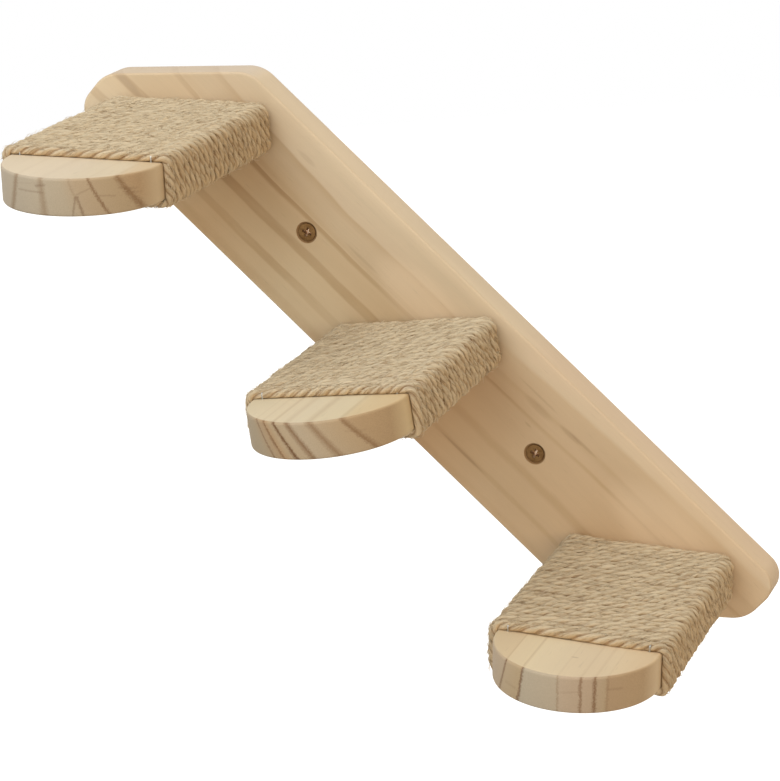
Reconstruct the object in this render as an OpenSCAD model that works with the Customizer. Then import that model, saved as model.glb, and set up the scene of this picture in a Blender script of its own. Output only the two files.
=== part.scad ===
// Cat ladder: a sloping back board with three rope-wound steps, screwed to a wall.
// +Z is up, +X is to the right, and the back of the board lies on the wall plane Y = 0,
// so the steps stand out towards -Y. The origin is the middle of the board's back face.

/* [Board] */
// Thickness of the back board
board_t = 18; // [14:1:24]
// Width of the back board, square to its long edges
board_w = 85; // [76:1:100]
// Height from the middle of an outer step to the board's level end
board_end_margin = 26; // [22:1:60]
// Distance along the slope from the middle of an outer step to the board's square nose
board_nose_margin = 52.3; // [40:0.1:55]
// Radius of the square corners at the two noses
nose_corner_r = 12; // [6:1:14]
// Radius of the four blunt corners
blunt_corner_r = 18; // [6:1:26]
// Radius that eases the edges of the board
board_edge_r = 2.2; // [0.6:0.2:4]

/* [Steps] */
// Sideways distance from one step to the next
step_run = 114; // [110:1:120]
// Rise from one step to the next
step_rise = 114; // [110:1:120]
// Length of the upper step from the board to its tip
upper_step_len = 159; // [150:0.5:175]
// Length of the middle step from the board to its tip
middle_step_len = 157.5; // [150:0.5:175]
// Length of the lower step from the board to its tip
lower_step_len = 161; // [150:0.5:175]
// Width of a step, whose nose is a half round
step_w = 79; // [70:1:90]
// Thickness of a step
step_t = 18; // [14:1:24]
// Radius that eases the edges of a step
step_edge_r = 2; // [0.8:0.2:4]
// Turn of the upper step as it is screwed on, lifting its right side
upper_step_turn = -3.4; // [-6:0.1:6]
// Turn of the middle step as it is screwed on, lifting its right side
middle_step_turn = 3.7; // [-6:0.1:6]
// Turn of the lower step as it is screwed on, lifting its right side
lower_step_turn = -5.3; // [-6:0.1:6]

/* [Rope] */
// Diameter of the jute rope
rope_d = 4.8; // [4.4:0.2:7]
// How far the winding runs on past the start of the half-round nose
rope_past_nose = 2.8; // [0:0.2:4]
// Gap between the rope and the wood that it is wound on
rope_seat_gap = 0.3; // [0.1:0.05:0.5]
// Gap between the last turn and the board
rope_board_gap = 0.6; // [0.6:0.05:0.9]

/* [Staples] */
// Thickness of the flat staple wire, along the step
staple_wire_t = 0.5; // [0.4:0.05:0.5]
// Width of the flat staple wire, across the step
staple_wire_w = 0.7; // [0.5:0.1:1.2]
// Length of a staple's legs, over the crown
staple_leg = 12; // [8:1:14]
// Distance from the step's side to the staples at the tip
staple_inset = 5.5; // [4:0.5:12]
// Distance from a cut end of the rope to the staple that holds it
staple_tail = 10; // [6:1:14]
// Clearance round a staple's legs
staple_clear = 0.03; // [0.02:0.01:0.05]

/* [Wall screws] */
// Thread diameter of the two wall screws
wall_screw_d = 5; // [4:0.5:5]
// Smooth shank diameter of the wall screws
wall_shank_d = 3.6; // [2.8:0.2:3.8]
// Head diameter of the wall screws
wall_head_d = 9.4; // [8.4:0.2:9.8]
// Full length of the wall screws
wall_screw_len = 50; // [40:5:70]
// Mouth diameter of the countersinks for the wall screws
wall_sink_d = 11.2; // [10.8:0.2:13]
// Diameter of the holes that the wall screws pass through
wall_hole_d = 5.6; // [5.4:0.1:6.2]

/* [Step screws] */
// Thread diameter of the two screws that hold each step
step_screw_d = 4; // [3.5:0.5:5]
// Smooth shank diameter of the step screws
step_shank_d = 2.9; // [2.4:0.1:3.2]
// Head diameter of the step screws
step_head_d = 7.8; // [7:0.2:8]
// Full length of the step screws
step_screw_len = 50; // [40:5:60]
// Distance between the two screws of a step
step_screw_gap = 44; // [36:1:52]
// Mouth diameter of the countersinks in the back of the board
step_sink_d = 8.8; // [8.8:0.1:10]
// Diameter of the holes in the board that the step screws pass through
step_hole_d = 4.6; // [4.4:0.1:5]

/* [Screw details] */
// Height of the straight rim at the top of every screw head
head_rim = 0.4; // [0.2:0.1:0.4]
// Clearance between a screw head and its countersink
head_clear = 0.07; // [0.04:0.01:0.1]
// Clearance between a screw thread and the hole in the wood
thread_clear = 0.05; // [0.03:0.01:0.1]
// Length of the pointed tip of every screw
screw_point = 6; // [4:1:8]
// Width of the cross slots over the screw's thread diameter
slot_share = 0.22; // [0.18:0.01:0.26]

/* [Hidden] */
RANKS = ["upper", "middle", "lower"];
SIDES = ["left", "right"];
STAPLES = ["tip_left", "tip_right", "tail_start", "tail_end"];

$fn = 48;
blend_fn = 40;
edge_steps = 3;
cut = 0.01;

// The board's slope, and the places of the steps and of the wall screws midway between them
slope = atan2(step_rise, step_run);
STEP_TURNS = [upper_step_turn, middle_step_turn, lower_step_turn];
STEP_LENS = [upper_step_len, middle_step_len, lower_step_len];
function step_place(k) = [(k - 1) * step_run, (1 - k) * step_rise];
wall_screw_x = step_run / 2;
wall_screw_z = step_rise / 2;

// The six sides of the board in order, each as its outward normal and its distance from the middle
end_reach = step_rise + board_end_margin;
nose_reach = norm([step_run, step_rise]) + board_nose_margin;
BOARD_SIDES = [
    [0, 1, end_reach],
    [sin(slope), cos(slope), board_w / 2],
    [cos(slope), -sin(slope), nose_reach],
    [0, -1, end_reach],
    [-sin(slope), -cos(slope), board_w / 2],
    [-cos(slope), sin(slope), nose_reach]
];
BOARD_CORNER_R = [
    blunt_corner_r, nose_corner_r, blunt_corner_r, blunt_corner_r, nose_corner_r, blunt_corner_r
];

// Where two sides meet once both are drawn in by r, which is the centre of their corner
function corner_centre(a, b, r) =
    let (p = a[2] - r, q = b[2] - r, det = a[0] * b[1] - a[1] * b[0])
    [(p * b[1] - q * a[1]) / det, (a[0] * q - b[0] * p) / det];

// The winding: the rope's centre line runs round the step on a stretched octagon, whose corners
// are mitred twice, and moves towards the board by one pitch a turn
nose_r = step_w / 2;
rope_r = rope_d / 2;
rope_flat = rope_r * cos(30);
least_turn_gap = staple_wire_t + 2 * staple_clear;
function straight_len(k) = STEP_LENS[k] - nose_r;
function wind_len(k) = straight_len(k) + rope_past_nose;
function wind_travel(k) = wind_len(k) - rope_board_gap - rope_d;
function turns(k) = floor(wind_travel(k) / (rope_d + least_turn_gap));
function pitch(k) = wind_travel(k) / turns(k);
bend_r = step_edge_r + rope_seat_gap + rope_flat;
mitre = 22.5;

// Corner j of the octagon, going clockwise from the underside as seen from the step's tip
LOOP_CORNERS = 8;
function loop_angle(j) = 247.5 - 45 * j;
function loop_corner(j) =
    let (a = loop_angle(j), sx = sign(cos(a)), sz = sign(sin(a)), r = bend_r / cos(mitre))
    [sx * (step_w / 2 - step_edge_r) + r * cos(a), sz * (step_t / 2 - step_edge_r) + r * sin(a)];
loop_start = [0, -(step_t / 2 - step_edge_r + bend_r)];
function loop_gone(j) =
    j == 0
        ? norm(loop_corner(0) - loop_start)
        : loop_gone(j - 1) + norm(loop_corner(j) - loop_corner(j - 1));
LOOP_GONE = [for (j = [0:LOOP_CORNERS - 1]) loop_gone(j)];
loop_len = LOOP_GONE[LOOP_CORNERS - 1] + norm(loop_start - loop_corner(LOOP_CORNERS - 1));

// Depth of the rope's centre line once it has gone s round step k, measured out from the board
function rope_depth(k, s) = wind_len(k) - rope_r - pitch(k) * s / loop_len;

// A ring of six points round the centre line: out is its outward direction, stretched at a mitre
function rope_ring(at, depth, out) = [
    for (i = [0:5])
        let (up = rope_r * sin(60 * i), over = rope_r * cos(60 * i))
        [at[0] + up * out[0], -(board_t + depth + over), at[1] + up * out[1]]
];
mitre_out = 1 / cos(mitre);
function rope_rings(k) = concat(
    [rope_ring(loop_start, rope_depth(k, 0), [0, -1])],
    [
        for (n = [0:turns(k) - 1], j = [0:LOOP_CORNERS - 1])
            let (a = loop_angle(j))
            rope_ring(
                loop_corner(j), rope_depth(k, n * loop_len + LOOP_GONE[j]),
                mitre_out * [cos(a), sin(a)]
            )
    ],
    [rope_ring(loop_start, rope_depth(k, turns(k) * loop_len), [0, -1])]
);

// The least distance from any point of a ring to any point of the ring one turn on
function rope_self_gap(rings) = min([
    for (i = [1:len(rings) - 2 - LOOP_CORNERS], a = [0:5], b = [0:5])
        norm(rings[i][a] - rings[i + LOOP_CORNERS][b])
]);
for (k = [0:2])
    echo(
        rope = RANKS[k], turns = turns(k), pitch = pitch(k), gap_to_itself = rope_self_gap(rope_rings(k)),
        length = turns(k) * norm([loop_len, pitch(k)])
    );

// Staples straddle one turn, with a leg in the gap on each side of it
staple_x = step_w / 2 - staple_inset;
crown_z = step_t / 2 + rope_seat_gap + 2 * rope_flat + staple_clear;
top_run_start = LOOP_GONE[3] - loop_corner(3)[0];
// Each staple of step k as its place across the step, its side and how far round the rope it is
function staple_spots(k) = [
    [-staple_x, 1, top_run_start - staple_x],
    [staple_x, 1, top_run_start + staple_x],
    [-staple_tail, -1, staple_tail],
    [staple_tail, -1, turns(k) * loop_len - staple_tail]
];

// Puts its children in a step's own frame: the step's middle on the board's front face, turned
module at_step(k) {
    translate([step_place(k)[0], 0, step_place(k)[1]])
        rotate([0, -STEP_TURNS[k], 0])
            children();
}

// A round plate with its flat faces across Y from 0 to -t and eased rims, for blending
module eased_disc(r, t, e) {
    rotate([90, 0, 0])
        rotate_extrude($fn = blend_fn)
            polygon(concat(
                [[0, 0]],
                [for (i = [0:edge_steps]) let (a = 90 * i / edge_steps)
                    [r - e + e * sin(a), e - e * cos(a)]],
                [for (i = [0:edge_steps]) let (a = 90 * i / edge_steps)
                    [r - e + e * cos(a), t - e + e * sin(a)]],
                [[0, t]]
            ));
}

// A countersunk wood screw along +Z from the middle of its head's top, with a cross recess
module wood_screw(d, shank_d, head_d, full_len, smooth_len) {
    head_h = head_rim + (head_d - shank_d) / 2;
    swell = (d - shank_d) / 2;
    slot_w = slot_share * d;
    slot_len = d;
    slot_deep = d / 2;
    difference() {
        rotate_extrude()
            polygon([
                [0, 0], [head_d / 2, 0], [head_d / 2, head_rim], [shank_d / 2, head_h],
                [shank_d / 2, smooth_len - swell], [d / 2, smooth_len],
                [d / 2, full_len - screw_point], [0, full_len]
            ]);
        for (a = [0, 90])
            rotate([0, 0, a])
                translate([-slot_len / 2, -slot_w / 2, -cut])
                    cube([slot_len, slot_w, slot_deep + cut]);
    }
}

// How far a screw head's top lies below the face that its countersink is cut in
function head_depth(sink_d, head_d) = (sink_d - head_d) / 2 - head_rim - head_clear;
wall_head_depth = head_depth(wall_sink_d, wall_head_d);
step_head_depth = head_depth(step_sink_d, step_head_d);

// A hole with a countersink, along +Z from the face that it is cut in
module screw_hole(hole_d, sink_d, deep) {
    sink_h = (sink_d - hole_d) / 2;
    translate([0, 0, -cut])
        cylinder(d = hole_d, h = deep + 2 * cut);
    translate([0, 0, -cut])
        cylinder(d1 = sink_d + 2 * cut, d2 = hole_d, h = sink_h + cut);
}

// Puts its children along a wall screw, from the board's front face into the wall
module along_wall_screw(side) {
    translate([side * wall_screw_x, -board_t, -side * wall_screw_z])
        rotate([-90, 0, 0])
            children();
}

// Puts its children along a step screw, from the board's back face into the step
module along_step_screw(k, side) {
    at_step(k)
        translate([side * step_screw_gap / 2, 0, 0])
            rotate([90, 0, 0])
                children();
}

// Puts its children at a staple's spot, in the middle of the turn of step k's rope that it straddles
module at_staple(k, spot) {
    mirror([0, 0, spot[1] < 0 ? 1 : 0])
        translate([spot[0], -(board_t + rope_depth(k, spot[2])), 0])
            children();
}

// A staple over one turn of step k's rope, as one bent outline
module staple(k, spot) {
    outside = (pitch(k) + staple_wire_t) / 2;
    inside = (pitch(k) - staple_wire_t) / 2;
    top = crown_z + staple_wire_t;
    foot = top - staple_leg;
    at_staple(k, spot)
        rotate([90, 0, 90])
            linear_extrude(staple_wire_w, center = true)
                polygon([
                    [-outside, foot], [-inside, foot], [-inside, crown_z], [inside, crown_z],
                    [inside, foot], [outside, foot], [outside, top], [-outside, top]
                ]);
}

// The two slots in the wood that a staple's legs need
module staple_slots(k, spot) {
    wide = staple_wire_w + 2 * staple_clear;
    thick = staple_wire_t + 2 * staple_clear;
    foot = crown_z + staple_wire_t - staple_leg - staple_clear;
    at_staple(k, spot)
        for (side = [-1, 1])
            translate([-wide / 2, side * pitch(k) / 2 - thick / 2, foot])
                cube([wide, thick, staple_leg]);
}

module back_board() {
    color("burlywood")
        difference() {
            hull()
                for (i = [0:5]) {
                    r = BOARD_CORNER_R[i];
                    at = corner_centre(BOARD_SIDES[i], BOARD_SIDES[(i + 1) % 6], r);
                    translate([at[0], 0, at[1]])
                        eased_disc(r, board_t, board_edge_r);
                }
            for (side = [-1, 1])
                along_wall_screw(side)
                    screw_hole(wall_hole_d, wall_sink_d, board_t);
            for (k = [0:2], side = [-1, 1])
                along_step_screw(k, side)
                    screw_hole(step_hole_d, step_sink_d, board_t);
        }
}

module step(k) {
    color("wheat")
        difference() {
            at_step(k)
                hull() {
                    translate([0, -(board_t + straight_len(k)), -step_t / 2])
                        rotate([-90, 0, 0])
                            eased_disc(nose_r, step_t, step_edge_r);
                    translate([0, -board_t, 0])
                        rotate([90, 0, 0])
                            linear_extrude(straight_len(k))
                                eased_end();
                }
            for (side = [-1, 1])
                along_step_screw(k, side) {
                    reach = step_head_depth + step_screw_len + thread_clear;
                    cylinder(d = step_screw_d + 2 * thread_clear, h = reach - screw_point);
                    translate([0, 0, reach - screw_point - cut])
                        cylinder(d1 = step_screw_d + 2 * thread_clear, d2 = 0, h = screw_point + cut);
                }
            at_step(k)
                for (spot = staple_spots(k))
                    staple_slots(k, spot);
        }
}

// The section of a step: a rectangle with eased corners
module eased_end() {
    polygon([
        for (c = [0:3], i = [0:edge_steps])
            let (
                a = 90 * c + 90 * i / edge_steps,
                sx = c == 0 || c == 3 ? 1 : -1,
                sz = c < 2 ? 1 : -1
            )
            [
                sx * (step_w / 2 - step_edge_r) + step_edge_r * cos(a),
                sz * (step_t / 2 - step_edge_r) + step_edge_r * sin(a)
            ]
    ]);
}

// One unbroken length of rope wound round a step, cut off square on the underside at both ends
module rope(k) {
    rings = rope_rings(k);
    last = len(rings) - 1;
    color("tan")
        at_step(k)
            polyhedron(
                points = [for (ring = rings, p = ring) p],
                faces = concat(
                    [[for (i = [0:5]) i]],
                    [
                        for (n = [0:last - 1], i = [0:5])
                            let (a = 6 * n + i, b = 6 * n + (i + 1) % 6)
                            each [[a, a + 6, b + 6], [a, b + 6, b]]
                    ],
                    [[for (i = [0:5]) 6 * last + 5 - i]]
                )
            );
}

module step_screw(k, side) {
    color("silver")
        along_step_screw(k, side)
            translate([0, 0, step_head_depth])
                wood_screw(step_screw_d, step_shank_d, step_head_d, step_screw_len, board_t);
}

module rope_staple(k, s) {
    color("gainsboro")
        at_step(k)
            staple(k, staple_spots(k)[s]);
}

module wall_screw(side) {
    color("peru")
        along_wall_screw(side)
            translate([0, 0, wall_head_depth])
                wood_screw(
                    wall_screw_d, wall_shank_d, wall_head_d, wall_screw_len, board_t - wall_head_depth
                );
}

back_board();
for (k = [0:2]) {
    step(k);
    rope(k);
    for (s = [0:1])
        step_screw(k, 2 * s - 1);
    for (s = [0:3])
        rope_staple(k, s);
}
wall_screw(-1);  // upper_wall_screw
wall_screw(1);  // lower_wall_screw
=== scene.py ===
"""Cat ladder: a sloping pine back board that carries three round-nosed steps wound in jute rope.

Each operator makes one piece or one group of like pieces, in metres, with +Z up, +X to the right, the
wall on the plane Y = 0 and the steps standing out towards -Y.
"""

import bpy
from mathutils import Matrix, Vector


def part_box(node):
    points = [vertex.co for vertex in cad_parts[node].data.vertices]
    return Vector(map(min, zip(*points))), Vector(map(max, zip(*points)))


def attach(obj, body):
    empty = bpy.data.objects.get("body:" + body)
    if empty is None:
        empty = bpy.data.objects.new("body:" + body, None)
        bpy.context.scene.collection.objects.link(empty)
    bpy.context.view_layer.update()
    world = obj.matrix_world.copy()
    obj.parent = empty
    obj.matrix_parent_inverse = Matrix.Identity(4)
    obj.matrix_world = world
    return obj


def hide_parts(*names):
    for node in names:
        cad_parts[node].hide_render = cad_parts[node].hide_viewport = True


bl_info = {
    "name": "Cat ladder",
    "version": (1, 0, 0),
    "blender": (4, 5, 0),
    "location": "3D View > Sidebar > Cat ladder",
    "description": "Makes a wall-mounted cat ladder of pine, with steps wound in jute rope",
    "category": "Add Mesh",
}

import math

import bpy
import numpy as np
from mathutils import Matrix

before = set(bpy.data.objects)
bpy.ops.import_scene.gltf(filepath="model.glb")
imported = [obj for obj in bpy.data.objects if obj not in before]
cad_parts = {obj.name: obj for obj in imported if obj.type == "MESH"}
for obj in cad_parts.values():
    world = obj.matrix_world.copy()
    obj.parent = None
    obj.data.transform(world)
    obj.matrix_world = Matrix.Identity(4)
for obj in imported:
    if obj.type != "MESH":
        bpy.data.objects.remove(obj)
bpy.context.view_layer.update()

MM = 0.001
RANKS = ("upper", "middle", "lower")
BOARD_LOW, BOARD_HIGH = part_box("back_board")
BOARD_DEPTH = BOARD_HIGH.y - BOARD_LOW.y
STEP_LENGTHS = [BOARD_LOW.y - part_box(f"{rank}_step")[0].y for rank in RANKS]


# Sizes and colours that a user would change


def plain(values):
    """Numpy numbers as a tuple of plain ones."""
    return tuple(float(value) for value in values)


def screen_colour(red, green, blue):
    """The linear colour of a screen colour given as three levels from 0 to 255, by the sRGB curve."""
    levels = np.array([red, green, blue]) / 255.0
    linear = np.where(levels <= 0.04045, levels / 12.92, ((levels + 0.055) / 1.055) ** 2.4)
    return plain(linear)


def lit_colour(levels, light):
    """The colour that shows as the given levels where a face gets shares of red, green and blue light."""
    return tuple(min(0.92, value / share) for value, share in zip(screen_colour(*levels), light))


def length_property(label, words, value):
    """A length in metres."""
    return bpy.props.FloatProperty(name=label, description=words, default=value, unit="LENGTH", precision=4)


def colour_property(label, words, levels):
    """A colour, given by its screen levels."""
    return bpy.props.FloatVectorProperty(
        name=label, description=words, default=screen_colour(*levels), subtype="COLOR", min=0.0, max=1.0
    )


class LadderBoardSizes(bpy.types.PropertyGroup):
    """Sizes of the back board."""

    thickness: length_property("Thickness", "Thickness of the back board", BOARD_DEPTH)
    width: length_property("Width", "Width of the board, square to its long edges", 85 * MM)
    end_height: length_property("End height", "Height of the level ends from the middle", BOARD_HIGH.z)
    nose_reach: length_property("Nose reach", "Distance of the noses from the middle", 213.52 * MM)
    nose_round: length_property("Nose rounding", "Radius of the two square corners", 12 * MM)
    blunt_round: length_property("Blunt rounding", "Radius of the four blunt corners", 18 * MM)
    edge_round: length_property("Edge rounding", "Radius that eases the board's edges", 1.1 * MM)


class LadderStepSizes(bpy.types.PropertyGroup):
    """Sizes of the steps, and how they lie on the board."""

    width: length_property("Width", "Width of a step, whose nose is a half round", 79 * MM)
    thickness: length_property("Thickness", "Thickness of a step", 18 * MM)
    edge_round: length_property("Edge rounding", "Radius that eases the steps' edges", 1.3 * MM)
    spacing: length_property("Spacing", "Distance from one step to the next, across and in height", 114 * MM)
    turns: bpy.props.FloatVectorProperty(
        name="Turns",
        description="How far each step is turned about its own length, lifting its right side",
        default=(math.radians(-3.4), math.radians(3.7), math.radians(-5.3)),
        subtype="EULER",
        unit="ROTATION",
    )


class LadderRopeSizes(bpy.types.PropertyGroup):
    """Sizes of the jute rope and of its windings."""

    depth: length_property("Depth", "Thickness of the rope between the wood and its outside", 4.45 * MM)
    diameter: length_property("Diameter", "Diameter of the rope before it is pressed flat", 4.8 * MM)
    lay: length_property("Lay", "Length in which a strand goes once round the rope", 19.3 * MM)
    past_nose: length_property("Past the nose", "How far the winding runs past the nose's start", 2.8 * MM)
    board_gap: length_property("Gap at the board", "Gap between the last turn and the board", 0.6 * MM)
    turns: bpy.props.IntVectorProperty(
        name="Turns", description="Turns of rope on each step", default=(21, 21, 22), min=4, max=60
    )
    unevenness: bpy.props.FloatVectorProperty(
        name="Unevenness",
        description="How uneven the rope is on each step",
        default=(0.6, 0.95, 1.0),
        min=0.0,
    )
    tones: bpy.props.FloatVectorProperty(
        name="Tones",
        description="How much browner than the plain jute the rope is on each step",
        default=(0.0, -0.15, 0.0),
    )
    # The shade between the strands is painted; this eases it on top of each step, where more light falls.
    softness: bpy.props.FloatVectorProperty(
        name="Softness",
        description="How much paler the shade between the strands is on top of each step",
        default=(0.4, 0.2, 0.15),
        min=0.0,
        max=1.0,
    )
    fibres: bpy.props.IntProperty(
        name="Loose fibres", description="Loose fibres on each winding", default=6200, min=0, max=6500
    )


class LadderScrewSizes(bpy.types.PropertyGroup):
    """Sizes of the wall screws and the step screws."""

    wall_thread: length_property("Wall thread", "Thread diameter of the wall screws", 5 * MM)
    wall_head: length_property("Wall head", "Head diameter of the wall screws", 9.4 * MM)
    wall_length: length_property("Wall length", "Full length of the wall screws", 50 * MM)
    wall_sink: length_property("Wall sink", "Mouth diameter of their countersinks", 11.2 * MM)
    wall_hole: length_property("Wall hole", "Diameter of their holes in the board", 5.6 * MM)
    step_thread: length_property("Step thread", "Thread diameter of the step screws", 4 * MM)
    step_head: length_property("Step head", "Head diameter of the step screws", 7.8 * MM)
    step_length: length_property("Step length", "Full length of the step screws", 50 * MM)
    step_sink: length_property("Step sink", "Mouth diameter of their countersinks", 8.8 * MM)
    step_hole: length_property("Step hole", "Diameter of their holes in the board", 4.6 * MM)
    step_gap: length_property("Step gap", "Distance between the two screws of a step", 44 * MM)


class LadderColours(bpy.types.PropertyGroup):
    """Colours of the finishes."""

    jute: colour_property("Jute", "Colour of the rope's outside", (210, 183, 143))
    jute_pale: colour_property("Jute fibres", "Colour of the palest fibres", (229, 211, 178))
    jute_brown: colour_property("Jute second tone", "Colour of the brownest fibres", (188, 157, 115))
    # Painted shade: the colour standing for the shade deep between the strands and turns.
    jute_shade: colour_property("Jute between strands", "Colour deep between the strands", (126, 80, 38))
    # Painted sheen: the paler, greyer colour on faces that look up.
    jute_painted_top_sheen: colour_property("Faded jute", "Colour that the jute fades to on top", (209, 203, 180))
    # Painted light: the greyer colour on faces towards the room.
    jute_painted_front_light: colour_property("Grey jute", "Colour that it greys to towards the room", (183, 169, 145))
    bronze: colour_property("Bronze", "Colour of the wall screws", (134, 102, 64))
    bronze_dark: colour_property("Bronze tarnish", "Colour of the tarnish on the wall screws", (112, 82, 48))
    # Painted highlight: the pale colour at the recess's foot, standing for a glint.
    bronze_painted_glint: colour_property("Worn bronze", "Colour where a driver has worn the screws", (226, 200, 172))
    # Partly the darker cut wood of the countersinks' walls, partly painted shade in their recess.
    countersink: colour_property("Countersinks", "Colour of the countersinks' walls", (140, 108, 70))
    zinc: colour_property("Zinc", "Colour of the staples and step screws", (190, 189, 184))


class LadderStageSizes(bpy.types.PropertyGroup):
    """Levels of the lamps and place of the floor."""

    top_lamp: bpy.props.FloatProperty(
        name="Top lamp", description="Power of the large lamp above and in front", default=17.4, unit="POWER"
    )
    side_lamp: bpy.props.FloatProperty(
        name="Side lamp", description="Power of the weak lamp on the right", default=9.0, unit="POWER"
    )
    front_lamp: bpy.props.FloatProperty(
        name="Front lamp", description="Power of the weak lamp in front", default=4.2, unit="POWER"
    )
    room_light: bpy.props.FloatProperty(
        name="Room light", description="Strength of the even light from all sides", default=0.46
    )
    room_colour: bpy.props.FloatVectorProperty(
        name="Room colour", description="Colour of the even light", default=(1.0, 0.95, 0.88), subtype="COLOR"
    )
    top_colour: bpy.props.FloatVectorProperty(
        name="Top colour", description="Colour of the top lamp", default=(0.97, 1.0, 1.05), subtype="COLOR"
    )
    side_colour: bpy.props.FloatVectorProperty(
        name="Side colour", description="Colour of the side lamp", default=(1.0, 0.8, 0.58), subtype="COLOR"
    )
    floor_drop: length_property("Floor", "How far the floor lies below the ladder's middle", 1.1)


# Mesh helpers


def put_mesh(name, points, faces):
    """A new object at the origin from points (n, 3) and a list of index arrays, one for each face size."""
    corners = np.concatenate([group.reshape(-1) for group in faces]).astype(np.int32)
    sizes = np.concatenate([np.full(len(group), group.shape[1]) for group in faces])
    starts = np.concatenate([[0], np.cumsum(sizes)[:-1]]).astype(np.int32)
    mesh = bpy.data.meshes.new(name)
    mesh.vertices.add(len(points))
    mesh.vertices.foreach_set("co", np.asarray(points, dtype=np.float32).ravel())
    mesh.loops.add(len(corners))
    mesh.loops.foreach_set("vertex_index", corners)
    mesh.polygons.add(len(starts))
    mesh.polygons.foreach_set("loop_start", starts)
    mesh.polygons.foreach_set("use_smooth", np.ones(len(starts), dtype=bool))
    mesh.update(calc_edges=True)
    if mesh.validate():
        raise RuntimeError(f"{name} has faces that aren't sound")
    made = bpy.data.objects.new(name, mesh)
    bpy.context.scene.collection.objects.link(made)
    return made


def grid_faces(rows, columns, first=0, closed=True):
    """Four-sided faces between neighbouring rows of points, row by row, closed round the columns or not."""
    row = np.arange(rows - 1)[:, None] * columns
    column = np.arange(columns if closed else columns - 1)[None, :]
    after = (column + 1) % columns
    quads = np.stack([row + column, row + after, row + columns + after, row + columns + column], axis=-1)
    return quads.reshape(-1, 4) + first


def fan_faces(centre, ring, outward):
    """Triangles from a centre point to each edge of a closed ring, wound one way or the other."""
    after = np.roll(ring, -1)
    middle = np.full(len(ring), centre)
    return np.stack([middle, ring, after] if outward else [middle, after, ring], axis=-1)


def tube_faces(rows, columns, turned=False):
    """Faces of a closed tube: its walls, and a fan at each end round a centre, where both centres come
    after the rows of points. They are turned inside out where the rows run the other way round."""
    ring = np.arange(columns)
    first = rows * columns
    walls = grid_faces(rows, columns)
    caps = np.concatenate(
        [
            fan_faces(first, ring, outward=turned),
            fan_faces(first + 1, first - columns + ring, outward=not turned),
        ]
    )
    return [walls[:, ::-1] if turned else walls, caps]


def gentle_noise(along, reach, seed, waves=7):
    """Smooth noise between about -1 and 1: a sum of sines whose wavelengths lie round the given reach."""
    random = np.random.default_rng(seed)
    lengths = reach * random.uniform(0.6, 2.2, waves)
    phases = random.uniform(0, 2 * math.pi, waves)
    angles = 2 * math.pi * along[..., None] / lengths + phases
    return np.sin(angles).sum(axis=-1) / math.sqrt(waves)


def mark_sharp(made, degrees=35):
    """Marks the edges that turn by more than an angle, so that flat faces stay flat beside them."""
    made.data.set_sharp_from_angle(angle=math.radians(degrees))


def cut_holes(made, cutter):
    """Takes a closed cutter out of a piece for good."""
    cutting = made.modifiers.new("holes", "BOOLEAN")
    cutting.operation = "DIFFERENCE"
    cutting.solver = "EXACT"
    cutting.object = cutter
    seen = bpy.context.evaluated_depsgraph_get()
    seen.update()
    old = made.data
    made.data = bpy.data.meshes.new_from_object(made.evaluated_get(seen))
    made.modifiers.clear()
    name = old.name
    bpy.data.meshes.remove(old)
    made.data.name = name
    cutter_mesh = cutter.data
    bpy.data.objects.remove(cutter)
    bpy.data.meshes.remove(cutter_mesh)


def lathe(profile, segments):
    """Points and faces of a closed turned shape round +Z.

    The profile is rows of radius and height from the foot's centre to the top's centre, and its first and
    last radius are 0. A point is (radius cos a, radius sin a, height), with a going once round.
    """
    profile = np.asarray(profile, dtype=float)
    angle = np.arange(segments) * 2 * math.pi / segments
    rings = profile[1:-1]
    body = np.stack(
        [
            rings[:, :1] * np.cos(angle),
            rings[:, :1] * np.sin(angle),
            np.repeat(rings[:, 1:], segments, axis=1),
        ],
        axis=-1,
    ).reshape(-1, 3)
    points = np.concatenate([body, [[0, 0, profile[0, 1]]], [[0, 0, profile[-1, 1]]]])
    return points, tube_faces(len(rings), segments)


def join_shapes(shapes):
    """Several shapes, each as points and faces, as one set of points and faces."""
    offset = 0
    points = []
    faces = {}
    for shape_points, shape_faces in shapes:
        points.append(shape_points)
        for group in shape_faces:
            faces.setdefault(group.shape[1], []).append(group + offset)
        offset += len(shape_points)
    return np.concatenate(points), [np.concatenate(groups) for groups in faces.values()]


def step_axes(turn):
    """The directions of a step's right side and of its top, by its turn."""
    right = np.array([math.cos(turn), 0.0, math.sin(turn)])
    top = np.array([-math.sin(turn), 0.0, math.cos(turn)])
    return right, top


def step_origin(steps, rank):
    """The middle of a step's end on the board's front face."""
    across = (rank - 1) * steps.spacing
    return np.array([across, -BOARD_DEPTH, -across])


def on_step(points, steps, rank):
    """Turns points given as rightward, depth from the board and upward into places on one step."""
    right, top = step_axes(steps.turns[rank])
    out = np.array([0.0, -1.0, 0.0])
    return step_origin(steps, rank) + points[..., :1] * right + points[..., 1:2] * out + points[..., 2:] * top


# Node helpers


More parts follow.
